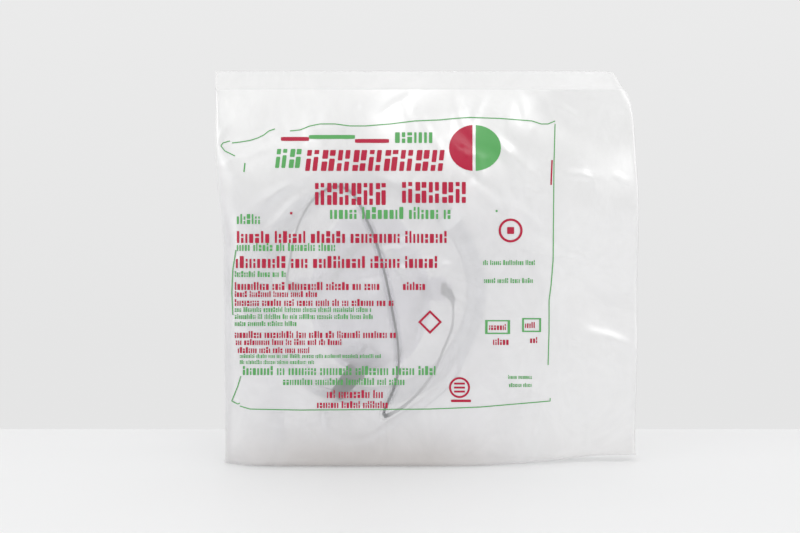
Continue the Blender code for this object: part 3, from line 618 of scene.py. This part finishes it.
def film_points():
    """Places of the film round the bag: one line for each column, from the top edge down the front,
    along the base, out and back along the base weld, and up the back to the top edge again."""
    share = np.linspace(0, 1, FILM_COLUMNS + 1)
    xs = HALF_WIDTH * (2 * share**1.12 - 1)
    foot = np.array([0.0, 0.0006, 0.0018, 0.0034])
    zs = np.concatenate([foot, np.linspace(BASE_ROUND, WELD_FOOT, FILM_ROWS - 3)])
    grid_x, grid_z = np.meshgrid(xs, zs, indexing="ij")
    front, sway = film_depth(grid_x, grid_z, -1)
    back, _ = film_depth(grid_x, grid_z, 1)
    front = front - film_creases(grid_x, grid_z, -1)
    back = back + film_creases(grid_x, grid_z, 1)
    middle = (front + back) / 2
    gap = np.maximum(back - front, FILM_GAP)
    front, back = middle - gap / 2, middle + gap / 2
    lines = []
    for i, x in enumerate(xs):
        edge = i in (0, FILM_COLUMNS)
        if edge:
            front[i] = back[i] = middle[i]
        round_off = 0.0 if edge else min(BASE_ROUND, 0.3 * (back[i][0] - front[i][0]))
        line = [(x, sway[i][-1], POUCH_HEIGHT), (x, sway[i][-1] - FILM, POUCH_HEIGHT - EDGE)]
        line.append((x, sway[i][-1] - FILM, WELD_FOOT + WELD_RUN))
        for k in range(FILM_ROWS, -1, -1):
            pull = 0.0
            if zs[k] < round_off:
                pull = round_off - math.sqrt(round_off**2 - (round_off - zs[k]) ** 2)
            line.append((x, front[i][k] + pull, zs[k]))
        start, end = front[i][0] + round_off, back[i][0]
        line += [(x, start + (end - start) * k / 5, 0.0) for k in range(1, 6)]
        reach = end + WELD_RUN
        line += [(x, reach, 0.0), (x, reach + WELD_WIDTH, 0.0001)]
        line += [(x, reach + WELD_WIDTH, 0.0002), (x, reach, 0.00045)]
        line += [(x, back[i][k], zs[k]) for k in range(1, FILM_ROWS + 1)]
        line.append((x, sway[i][-1] + FILM, WELD_FOOT + WELD_RUN))
        line.append((x, sway[i][-1] + FILM, POUCH_HEIGHT - EDGE))
        lines.append(line + line[:1])
    return np.array(lines)


def place_film(points):
    """Draws the width in towards the top weld, lifts the lower right corner, lets the upper left one
    reach out and curls the upper right one back."""
    x, z = points[..., 0].copy(), points[..., 2].copy()
    placed = points.copy()
    placed[..., 0] = x * (1 - TOP_DRAW * soft_step((z / POUCH_HEIGHT - 0.6) / 0.4))
    placed[..., 0] -= CORNER_REACH * soft_step((z - 0.130) / 0.070) * soft_step((-x - 0.055) / 0.070)
    placed[..., 2] = z + RIGHT_LIFT * soft_step((x - 0.045) / 0.070) * (1 - soft_step(z / 0.050))
    beyond = (placed[..., 0] - CURL_START.x) * CURL_WAY.x + (placed[..., 2] - CURL_START.y) * CURL_WAY.y
    beyond = np.maximum(beyond, 0)
    turn = np.minimum(beyond / CURL_RADIUS, CURL_LIMIT)
    straight = beyond - turn * CURL_RADIUS
    _, sway = film_depth(x, z, -1)
    off = placed[..., 1] - sway
    reach = CURL_RADIUS * np.sin(turn) + straight * np.cos(turn) - off * np.sin(turn) - beyond
    back = CURL_RADIUS * (1 - np.cos(turn)) + straight * np.sin(turn) + off * (np.cos(turn) - 1)
    placed[..., 0] += reach * CURL_WAY.x
    placed[..., 1] += back
    placed[..., 2] += reach * CURL_WAY.y
    return placed


# How the film behaves as cloth
FILM_CLOTH = {
    "quality": 6,
    "mass": 0.08,
    "tension_stiffness": 24,
    "compression_stiffness": 24,
    "shear_stiffness": 12,
    "bending_stiffness": 0.10,
    "air_damping": 1.0,
    "shrink_min": -BUCKLE_GROWTH,
    "vertex_group_mass": "held",
    "pin_stiffness": 0.6,
}


def buckle(item, held):
    """Lets the film grow between its held edges, so that it buckles as real film does."""
    group = item.vertex_groups.new(name="held")
    for level in sorted(set(held)):
        group.add([int(k) for k in np.nonzero(held == level)[0]], float(level), "REPLACE")
    cloth = item.modifiers.new("buckle", "CLOTH")
    for name, value in FILM_CLOTH.items():
        setattr(cloth.settings, name, value)
    cloth.settings.effector_weights.gravity = 0
    cloth.collision_settings.use_collision = False
    cloth.point_cache.frame_end = BUCKLE_FRAMES
    for step in range(1, BUCKLE_FRAMES + 1):
        bpy.context.scene.frame_set(step)
    evaluated = item.evaluated_get(bpy.context.evaluated_depsgraph_get())
    moved = np.empty(len(item.data.vertices) * 3)
    evaluated.data.vertices.foreach_get("co", moved)
    item.modifiers.remove(cloth)
    bpy.context.scene.frame_set(1)
    return moved.reshape(-1, 3)


def settle(before, after, contents):
    """Keeps the buckled film near its place, off the contents, and its two sides apart."""
    shift = after - before
    size = np.linalg.norm(shift, axis=-1, keepdims=True)
    shift *= np.minimum(1, BUCKLE_LIMIT / np.maximum(size, 1e-9))
    flat_before, flat_shift = before.reshape(-1, 3), shift.reshape(-1, 3)
    for k in np.nonzero(np.linalg.norm(flat_shift, axis=1) > LEAST_MOVE)[0]:
        place = Vector(flat_before[k])
        nearest, _, _, distance = contents.find_nearest(place)
        inwards = (nearest - place).normalized().dot(Vector(flat_shift[k]))
        room = max(0.0, distance - KEEP_OFF)
        if inwards > room:
            flat_shift[k] *= room / inwards
    settled = (flat_before + flat_shift).reshape(before.shape)
    settled[..., 2] = np.clip(settled[..., 2], 0.0, POUCH_HEIGHT)
    rows = np.arange(1, FILM_ROWS + 1)
    front_rows, back_rows = FRONT_FOOT_LINE - rows, BACK_FOOT_LINE + rows
    front, back = settled[:, front_rows, 1], settled[:, back_rows, 1]
    middle = (front + back) / 2
    gap = np.maximum(back - front, FILM_GAP)
    settled[1:-1, front_rows, 1] = (middle - gap / 2)[1:-1]
    settled[1:-1, back_rows, 1] = (middle + gap / 2)[1:-1]
    return settled


def set_places(item, places):
    """Writes every vertex of a piece."""
    item.data.vertices.foreach_set("co", np.ascontiguousarray(places, dtype=np.float32).ravel())
    item.data.update()


def make_film(finish, contents):
    """Front and back film in one sheet: laid into the bag's form, buckled, closed and made finer."""
    points = place_film(film_points())
    before = np.swapaxes(points, 0, 1)
    lines, columns = before.shape[:2]
    cuts = {"x_subdivisions": columns - 1, "y_subdivisions": lines - 1}
    film = fresh(bpy.ops.mesh.primitive_grid_add, size=1, **cuts)
    film.name = "film_pouch"
    set_places(film, before)
    held = np.full((lines, columns), LIGHT_HOLD)
    held[:, [0, -1]] = 1.0
    held[[0, 1, 2, -3, -2, -1], :] = 1.0
    held[FRONT_FOOT_LINE - 4 : BACK_FOOT_LINE + 4, :] = 1.0
    moved = buckle(film, held.ravel()).reshape(before.shape)
    points = settle(points, np.swapaxes(moved, 0, 1), contents)
    set_places(film, np.swapaxes(points, 0, 1))
    film.vertex_groups.clear()
    cut_vents(film)
    with editing(film):
        bpy.ops.mesh.remove_doubles(threshold=MERGE_FILM)
        bpy.ops.mesh.normals_make_consistent(inside=False)
    finer = film.modifiers.new("finer", "SUBSURF")
    finer.levels = 1
    finer.render_levels = 1
    apply_modifiers(film)
    bpy.ops.object.shade_smooth()
    film.data.materials.append(finish)
    mark_touch(film, contents)
    return film


def mark_touch(film, contents):
    """Writes how close the film lies to what it holds: 1 where it touches, 0 from a few millimetres on,
    and less in the hazy stretch over the strap's way back to the right ear."""
    touch = film.data.attributes.new("touch", "FLOAT", "POINT")
    connector = tree_of(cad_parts["mask_connector"])
    for k, vert in enumerate(film.data.vertices):
        distance = contents.find_nearest(vert.co)[3]
        to_connector = connector.find_nearest(vert.co)[3]
        near = 1 - ease((distance - TOUCH_NEAR) / (TOUCH_FAR - TOUCH_NEAR))
        near_connector = 1 - ease((to_connector - TOUCH_NEAR) / (DARK_PART_FAR - TOUCH_NEAR))
        hazy = band(vert.co.x, *HAZY_ACROSS) * (1 - ease((vert.co.z - HAZY_TOP) / HAZY_FADE))
        touch.data[k].value = max(near, near_connector) * (1 - HAZY_SHARE * hazy)


def cut_vents(film):
    """Opens the two round vents in the back film."""
    vents = [Vector((CENTRE.x + 0.0019, 0, CENTRE.z)), Vector((FALL_START + 0.046, 0, BACK_SHOULDER + 0.020))]
    bm = bmesh.new()
    bm.from_mesh(film.data)
    for vent in vents:
        def away(place):
            return Vector((place.x - vent.x, 0, place.z - vent.z))

        hole = []
        for face in bm.faces:
            middle = face.calc_center_median()
            back = BACK_FILM_LEFT if middle.x < 0 else BACK_FILM_RIGHT
            if middle.y > back and away(middle).length < VENT_RADIUS:
                hole.append(face)
        rim = {vert for face in hole for vert in face.verts}
        bmesh.ops.delete(bm, geom=hole, context="FACES")
        for vert in rim:
            if vert.is_valid and vert.link_faces:
                out = away(vert.co)
                vert.co += out.normalized() * VENT_RADIUS - out
    loose = [vert for vert in bm.verts if not vert.link_faces]
    bmesh.ops.delete(bm, geom=loose, context="VERTS")
    bm.to_mesh(film.data)
    bm.free()


# The print: stamps in the photograph's pixels, X across and Y down, laid on the front film


def block_stamp(cuts, corner):
    """A block one unit wide and high with soft corners."""
    stamp = fresh(bpy.ops.mesh.primitive_plane_add, size=1)
    with editing(stamp):
        bpy.ops.transform.translate(value=(0.5, 0.5, 0))
        bpy.ops.mesh.bevel(offset=corner, segments=2, affect="VERTICES")
        select_all()
        bpy.ops.mesh.inset(thickness=corner * 0.6)
        for k in range(1, cuts + 1):
            for normal in ((1, 0, 0), (0, 1, 0)):
                select_all()
                share = k / (cuts + 1)
                bpy.ops.mesh.bisect(plane_co=(share, share, 0), plane_no=normal)
    return stamp


def ring_stamp(sides, inner):
    """A flat ring one unit in radius; four sides give a diamond."""
    stamp = fresh(bpy.ops.mesh.primitive_circle_add, vertices=sides, radius=1, fill_type="NOTHING")
    with editing(stamp):
        bpy.ops.mesh.extrude_region_move()
        bpy.ops.transform.resize(value=(inner, inner, 1))
        if sides < 12:
            select_all()
            bpy.ops.mesh.subdivide(number_cuts=2)
    return stamp


def half_disc_stamp(side):
    """Half of a filled disc one unit in radius, on the left for side -1 and on the right for side 1."""
    stamp = fresh(bpy.ops.mesh.primitive_circle_add, vertices=40, radius=1, fill_type="TRIFAN")
    with editing(stamp):
        bpy.ops.mesh.subdivide(number_cuts=3)
        select_all()
        bpy.ops.mesh.bisect(plane_co=(0.06 * side, 0, 0), plane_no=(side, 0, 0), clear_inner=True)
    return stamp


def frame_stamp(border):
    """The outline of a box one unit wide and high, border wide."""
    stamp = fresh(bpy.ops.mesh.primitive_plane_add, size=1)
    with editing(stamp):
        bpy.ops.transform.translate(value=(0.5, 0.5, 0))
        bpy.ops.mesh.inset(thickness=border)
        bpy.ops.mesh.delete(type="FACE")
        select_all()
        bpy.ops.mesh.subdivide(number_cuts=3)
    return stamp


class Ink:
    """What is printed in one colour."""

    def __init__(self):
        self.pieces = []

    def stamp(self, shape, left, top, width, height, slant=0.0):
        """A copy of a shape; slant leans its top to the right."""
        made = copy_of(shape, "stamped")
        first = (width, -slant * height, 0, left + slant * height)
        made.data.transform(Matrix((first, (0, height, 0, top), (0, 0, 1, 0), (0, 0, 0, 1))))
        self.pieces.append(made)

    def line(self, points, width):
        """A drawn line: a narrow strip bent along points."""
        fine = fine_line(points)
        strip = fresh(bpy.ops.mesh.primitive_grid_add, x_subdivisions=len(fine) - 1, y_subdivisions=1, size=1)
        for vert in strip.data.vertices:
            k = round((vert.co.x + 0.5) * (len(fine) - 1))
            before, after = fine[max(k - 1, 0)], fine[min(k + 1, len(fine) - 1)]
            way = Vector((after[0] - before[0], after[1] - before[1])).normalized()
            side = math.copysign(width / 2, vert.co.y)
            vert.co = (fine[k][0] - way.y * side, fine[k][1] + way.x * side, 0)
        self.pieces.append(strip)

    def lay(self, name, finish, camera, film):
        """Joins the pieces and moves every point along the camera's ray to the front film."""
        made = joined(self.pieces, name, finish)
        places = []
        for vert in made.data.vertices:
            origin, way = pixel_ray(camera, vert.co.x, vert.co.y)
            place, normal, _, _ = film.ray_cast(origin, way)
            if place is None:
                place, normal, _, _ = film.find_nearest(origin + way * (camera.location.y / -way.y))
            if normal.dot(way) > 0:
                normal = -normal
            places.append(place + normal * PRINT_LIFT)
        set_places(made, np.array(places))
        with editing(made):
            bpy.ops.mesh.normals_make_consistent(inside=False)
        for face in [face for face in made.data.polygons if face.normal.y > 0]:
            face.flip()
        bpy.ops.object.shade_smooth()
        return made


def fine_line(points):
    """More points along straight stretches, so that a line follows the film."""
    fine = []
    for start, end in zip(points, points[1:]):
        count = max(1, math.ceil(math.hypot(end[0] - start[0], end[1] - start[1]) / 3))
        for k in range(count):
            share = k / count
            fine.append((start[0] + (end[0] - start[0]) * share, start[1] + (end[1] - start[1]) * share))
    return fine + [points[-1]]


# Small print as rows of blocks: colour, left, right, top and bottom
PRINT_ROWS = [
    ("green", 237, 263, 214, 224), ("crimson", 237, 455, 231, 243), ("green", 237, 337, 243, 251),
    ("crimson", 236, 441, 256, 268), ("green", 235, 287, 271, 277), ("crimson", 235, 381, 282, 290),
    ("crimson", 403, 428, 282, 290), ("crimson", 235, 323, 291, 297), ("crimson", 235, 395, 299, 306),
    ("green", 235, 373, 307, 312), ("green", 235, 373, 314, 319), ("green", 235, 298, 321, 326),
    ("crimson", 235, 397, 331, 338), ("crimson", 236, 343, 339, 345), ("crimson", 238, 313, 347, 353),
    ("green", 240, 381, 354, 358), ("green", 240, 315, 360, 364), ("green", 243, 441, 366, 375),
    ("green", 283, 409, 378, 385), ("crimson", 327, 383, 390, 398), ("crimson", 317, 394, 401, 408),
    ("green", 483, 537, 260, 265), ("green", 484, 537, 278, 283), ("crimson", 493, 510, 338, 345),
    ("crimson", 530, 540, 337, 343), ("green", 508, 533, 375, 379), ("green", 509, 535, 383, 387),
    ("green", 330, 455, 207, 219), ("green", 395, 446, 129, 143), ("crimson", 489, 507, 324, 330),
    ("crimson", 525, 538, 322, 328),
]
BORDER_LINES = [
    [(232, 143), (241, 142), (250, 140.5), (258, 138), (264, 135), (269, 131), (275, 129)],
    [(290, 131), (300, 130), (310, 126), (320, 124), (335, 124)]
    + [(350, 126), (365, 126), (390, 124), (415, 121)],
    [(415, 121), (440, 120), (455, 118.5), (470, 117.5), (485, 118), (500, 118.5), (520, 120)],
    [(520, 120), (532, 121), (541, 124), (548, 124), (555, 121)],
    [(235, 156), (225, 151), (221, 146), (223, 143), (230, 141)],
    [(555, 124), (554, 160), (553, 260), (551, 285), (549, 300), (549, 330), (548, 365)],
    [(550, 398), (550, 401), (515, 404), (480, 407), (430, 409), (300, 410), (250, 409), (240, 406)],
    [(236, 250), (233, 270), (232, 292), (233, 315)],
    [(241, 376), (238, 386), (232, 401), (238, 404), (240, 403)],
]
BORDER_WIDTH = 1.0
PRINT_LIFT = 0.00026


def word_row(ink, bar, rng, left, right, top, bottom):
    """A row of thin bars in groups, as small print looks from a step away."""
    tall = bottom - top
    across = left
    while across < right - tall * 0.6:
        for _ in range(rng.randint(3, 11)):
            width = tall * rng.choice((0.17, 0.20, 0.24, 0.34))
            if across + width > right:
                break
            rise = tall * rng.choice((0.0, 0.24, 0.24, 0.24))
            if rng.random() < 0.35:
                middle = top + rise + (tall - rise) * rng.choice((0.36, 0.52))
                ink.stamp(bar, across, top + rise, width, middle - top - rise - tall * 0.05)
                ink.stamp(bar, across, middle + tall * 0.05, width, bottom - middle - tall * 0.05)
            else:
                ink.stamp(bar, across, top + rise, width, tall - rise)
            across += width + tall * 0.15
        across += tall * 0.32


def title_row(ink, block, left, right, top, bottom, count, slant):
    """Large blocks in two columns each, split at different heights."""
    pitch = (right - left) / count
    tall = bottom - top
    slit = tall * 0.13
    for k in range(count):
        for column in (0, 1):
            start = left + (k + 0.46 * column) * pitch
            upper = tall * (0.28, 0.58, 0.42, 0.20, 0.50)[(2 * k + 3 * column) % 5]
            wide = pitch * (0.36 if k % 2 else 0.30)
            ink.stamp(block, start + slant * (tall - upper), top, wide, upper, slant)
            ink.stamp(block, start, top + upper + slit, wide, tall - upper - slit, slant)


def make_print(camera, film, crimson_finish, green_finish):
    """All that is printed on the front film, in two inks."""
    rng = random.Random(7)
    small, large = block_stamp(1, 0.10), block_stamp(3, 0.12)
    ring, diamond, box = ring_stamp(40, 0.80), ring_stamp(4, 0.74), frame_stamp(0.10)
    left_half, right_half = half_disc_stamp(-1), half_disc_stamp(1)
    crimson, green = Ink(), Ink()
    inks = {"crimson": crimson, "green": green}
    for colour, left, right, top, bottom in PRINT_ROWS:
        word_row(inks[colour], small, rng, left, right, top, bottom)
    for line in BORDER_LINES:
        green.line(line, BORDER_WIDTH)
    green.line([(245, 163), (244, 172)], 1.4)
    crimson.line([(552, 160), (551, 185)], 1.6)
    crimson.stamp(large, 281, 137, 28, 4)
    green.stamp(large, 309, 135, 46, 4)
    crimson.stamp(large, 355, 139, 34, 4)
    title_row(green, large, 275, 302, 149, 168, 2, 0.12)
    title_row(crimson, large, 305, 446, 150, 171, 9, 0.12)
    title_row(crimson, large, 315, 388, 183, 205, 6, 0.0)
    title_row(crimson, large, 402, 469, 182, 203, 5, 0.0)
    crimson.stamp(left_half, 474, 148, 25, 23)
    green.stamp(right_half, 474, 148, 27, 23)
    crimson.stamp(ring, 510.5, 230.5, 12, 12)
    crimson.stamp(large, 507, 227, 7, 7)
    crimson.stamp(diamond, 430, 322, 12, 12)
    green.stamp(box, 485, 320, 25, 14)
    green.stamp(box, 522, 318, 19, 14)
    crimson.stamp(ring, 459.5, 387.5, 10.5, 10.5)
    for offset in (-4, 0, 4):
        crimson.stamp(small, 454, 386.5 + offset, 11, 2)
    crimson.stamp(small, 451, 399.5, 20, 2.6)
    crimson.stamp(small, 290, 212, 2.4, 2.4)
    green.stamp(small, 495.5, 210, 2, 2)
    pieces = [
        crimson.lay("crimson_print", crimson_finish, camera, film),
        green.lay("green_print", green_finish, camera, film),
    ]
    for stamp in (small, large, ring, diamond, box, left_half, right_half):
        bpy.data.objects.remove(stamp)
    return pieces


# Contents


def moulded_copy(node, name, finish, angle):
    """A merged, smooth-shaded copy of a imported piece, which stands for it."""
    made = copy_of(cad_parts[node], name)
    made.parent = None
    with editing(made):
        bpy.ops.mesh.remove_doubles(threshold=MERGE_PIECE)
        bpy.ops.mesh.dissolve_limited(angle_limit=math.radians(0.5))
    bpy.ops.object.shade_smooth_by_angle(angle=math.radians(angle))
    made.data.materials.clear()
    made.data.materials.append(finish)
    stand_for(made, node)
    return made


# Connector and funnel: (radius, height) round their own lines
CONNECTOR_LENGTH = 0.02013
CONNECTOR_PROFILE = [
    (0.0033, 0.0200), (0.0039, 0.0192), (0.0039, 0.0140), (0.0047, 0.0110),
    (0.0049, 0.0035), (0.0057, 0.0030), (0.0057, 0.0), (0.0042, 0.0),
    (0.0038, -0.0060), (0.0016, -0.0060), (0.0016, 0.0200),
]
STRAP_PLUMP = 0.00022
SMALL_EDGE = 0.00012
FUNNEL_TOP = Vector((-0.0930, 0.0017, 0.03042))
FUNNEL_PROFILE = [
    (0.0041, 0.0), (0.0041, -0.0015), (0.0045, -0.0018), (0.0045, -0.0026),
    (0.0041, -0.0029), (0.0041, -0.0045), (0.0045, -0.0048), (0.0045, -0.0056),
    (0.0041, -0.0059), (0.0041, -0.0100), (0.0056, -0.0180), (0.0064, -0.0280),
    (0.0064, -0.0300), (0.0052, -0.0300), (0.0046, -0.0190), (0.0017, -0.0120),
    (0.0017, 0.0),
]


def turned(name, profile, sides, finish):
    """A turned piece along Z: a ring pulled out and widened from one (radius, height) pair to the next."""
    radius, height = profile[0]
    ring = {"vertices": sides, "radius": radius, "fill_type": "NOTHING", "location": (0, 0, height)}
    made = fresh(bpy.ops.mesh.primitive_circle_add, **ring)
    made.name = name
    apply_place(made)
    with editing(made):
        for next_radius, next_height in profile[1:] + profile[:1]:
            bpy.ops.mesh.extrude_region_move(TRANSFORM_OT_translate={"value": (0, 0, next_height - height)})
            share = next_radius / radius
            if share != 1:
                bpy.ops.transform.resize(value=(share, share, 1), center_override=(0, 0, next_height))
            radius, height = next_radius, next_height
        select_all()
        bpy.ops.mesh.remove_doubles(threshold=MERGE_PIECE)
        bpy.ops.mesh.normals_make_consistent(inside=False)
    made.data.materials.append(finish)
    return made


def raise_ribs(item, low, high, rise, every):
    """Raises every few faces between two heights into a grip rib."""
    sides = []
    for face in item.data.polygons:
        outwards = face.normal.x * face.center.x + face.normal.y * face.center.y
        face.select = False
        if low < face.center.z < high and outwards > 0:
            sides.append((math.atan2(face.center.y, face.center.x), face.index))
    for k, (_, index) in enumerate(sorted(sides)):
        item.data.polygons[index].select = k % every == 0
    with editing(item, whole=False):
        bpy.ops.mesh.select_mode(type="FACE")
        bpy.ops.mesh.inset(thickness=SMALL_EDGE, use_individual=True)
        bpy.ops.mesh.extrude_region_shrink_fatten(TRANSFORM_OT_shrink_fatten={"value": rise})
        bpy.ops.mesh.select_mode(type="VERT")


def round_edges(item, width, angle):
    """Takes the sharp edges off and shades the rest smooth."""
    edge = item.modifiers.new("round_edges", "BEVEL")
    edge.width = width
    edge.segments = 2
    edge.limit_method = "ANGLE"
    edge.angle_limit = math.radians(angle)
    apply_modifiers(item)
    bpy.ops.object.shade_smooth_by_angle(angle=math.radians(angle))


def lay_along(item, start, way):
    """Turns a piece made along Z onto a line and leaves it unturned and unscaled."""
    item.rotation_euler = Vector(way).to_track_quat("Z", "Y").to_euler()
    item.location = start
    apply_place(item)


def plump_up(item, rise):
    """Fattens a knitted piece a little all over."""
    with editing(item):
        bpy.ops.transform.shrink_fatten(value=rise)


def finish_turned(item, start, way, node):
    """Rounds a turned piece's edges, and lays it where it belongs."""
    round_edges(item, SMALL_EDGE, 35)
    lay_along(item, start, way)
    stand_for(item, node)


def stand_for(item, node):
    """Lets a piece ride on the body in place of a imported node."""
    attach(item, BODY)
    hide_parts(node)


# Floor, room and light


def make_table():
    """A pale table top that ends behind the pouch."""
    width, front, thickness, middle_z = 5.0, 2.6, 0.04, -0.0202
    middle = (0, (TABLE_END_Y - front) / 2, middle_z)
    scale = (width, TABLE_END_Y + front, thickness)
    table = fresh(bpy.ops.mesh.primitive_cube_add, size=1, location=middle, scale=scale)
    table.name = "table"
    apply_place(table)
    edge = table.modifiers.new("round_edge", "BEVEL")
    edge.width = 0.003
    edge.segments = 3
    apply_modifiers(table)
    pale = plastic("pale_table", (0.84, 0.842, 0.845), (0.82, 0.822, 0.826), 0.45, 0.03, patch=6)
    table.data.materials.append(pale)


def area_light(name, place, target, size, radiance):
    """A soft box that looks at a point; radiance is how bright its face is."""
    bpy.ops.object.light_add(type="AREA", location=place)
    light = bpy.context.object
    light.name = name
    light.data.shape = "RECTANGLE"
    light.data.size, light.data.size_y = size
    light.data.energy = radiance * math.pi * size[0] * size[1]
    light.rotation_euler = (Vector(place) - Vector(target)).to_track_quat("Z", "Y").to_euler()


def make_room():
    """A pale room, brighter behind, above and at the sides; what the camera sees of it is nearly even."""
    world = bpy.data.worlds.new("pale_room")
    bpy.context.scene.world = world
    world.use_nodes = True
    tree = world.node_tree
    tree.nodes.clear()
    place = add(tree, "TexCoord", {}, "Generated")
    parts = add(tree, "SeparateXYZ", {"Vector": place}).outputs
    depth = fit(tree, parts["Y"], -1, 1, 0.64, 0.83)
    wings = fit(tree, calculate(tree, "ABSOLUTE", parts["X"]), 0.25, 1, 0.64, 1.0)
    sky = fit(tree, parts["Z"], 0.15, 0.65, 0.64, 0.90)
    brightest = calculate(tree, "MAXIMUM", calculate(tree, "MAXIMUM", depth, wings), sky)
    even = fit(tree, parts["Z"], -0.14, 0.06, 0.785, 0.835)
    room, seen = (
        add(tree, "Background", {"Color": (1, 1, 1, 1), "Strength": strength}, "Background")
        for strength in (brightest, even)
    )
    camera_ray = add(tree, "LightPath", {}, "Is Camera Ray")
    both = add(tree, "MixShader", {"Fac": camera_ray, 1: room, 2: seen}, "Shader")
    add(tree, "OutputWorld", {"Surface": both})


# Everything in order

bpy.context.scene.view_settings.view_transform = "Standard"
UNEVEN_PLASTIC = make_plastic_group()
BRAIDED_THREADS = make_thread_group()
FILM_MARKS = make_film_group()
camera = make_camera()

clear_tubing = plastic("tubing_pvc", (0.982, 0.986, 0.998), (0.96, 0.967, 0.99), 0.16, 0.05, clear=0.85)
tube, route = make_tube(clear_tubing)
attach(tube, BODY)
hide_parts("tube_lead", "tube_coil", "tube_tail")

grey_green = plastic("connector_plastic", (0.045, 0.072, 0.050), (0.03, 0.05, 0.034), 0.36, 0.3)
metal = plastic("nose_metal", (0.80, 0.81, 0.82), (0.70, 0.71, 0.72), 0.30, 0.3, grain=1600, metallic=1.0)
clear_shell = plastic("mask_pvc", (0.90, 0.885, 0.945), (0.85, 0.835, 0.91), 0.22, 0.08, clear=0.75)
clear_band = plastic("tie_film", (0.88, 0.90, 0.92), (0.80, 0.82, 0.84), 0.25, 0.1)
moulded_copy("mask_shell", "soft_mask", clear_shell, 40)
moulded_copy("nose_clip", "bent_clip", metal, 30)
connector = turned("port_connector", CONNECTOR_PROFILE, 48, grey_green)
raise_ribs(connector, 0.0050, 0.0095, 0.0005, 2)
finish_turned(connector, CONNECTOR_END - CONNECTOR_WAY * CONNECTOR_LENGTH, CONNECTOR_WAY, "mask_connector")
strap = moulded_copy("strap", "elastic_strap", make_elastic(), 50)
plump_up(strap, STRAP_PLUMP)
funnel = turned("outlet_funnel", FUNNEL_PROFILE, 40, clear_tubing)
finish_turned(funnel, FUNNEL_TOP, (0, 0, 1), "supply_funnel")
tie = moulded_copy("coil_tie", "coil_band", clear_band, 40)

inside = bmesh.new()
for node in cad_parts:
    if node != "pouch":
        inside.from_mesh(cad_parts[node].data)
contents = BVHTree.FromBMesh(inside)
inside.free()

film = make_film(make_clear_film(), contents)
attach(film, BODY)
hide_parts("pouch")

crimson_ink = plastic("crimson_ink", (0.50, 0.010, 0.050), (0.42, 0.008, 0.042), 0.24, 0.08)
green_ink = plastic("green_ink", (0.115, 0.42, 0.125), (0.095, 0.36, 0.105), 0.24, 0.08)
for piece in make_print(camera, tree_of(film), crimson_ink, green_ink):
    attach(piece, BODY)

make_table()
make_room()
area_light("top_box", (0.0, -0.35, 1.75), (0, 0, 0.1), (1.6, 0.9), 0.9)
area_light("front_box", (-0.30, -1.60, 1.10), (0, 0, 0.12), (1.5, 0.8), 0.35)
area_light("glint_box", (0.62, -1.55, 1.20), (0, 0, 0.12), (0.45, 0.45), 4.0)
area_light("left_box", (-1.75, -0.70, 0.80), (0, 0, 0.12), (0.5, 1.2), 1.5)
area_light("right_box", (1.75, -0.30, 0.60), (0, 0, 0.12), (0.5, 1.2), 0.6)
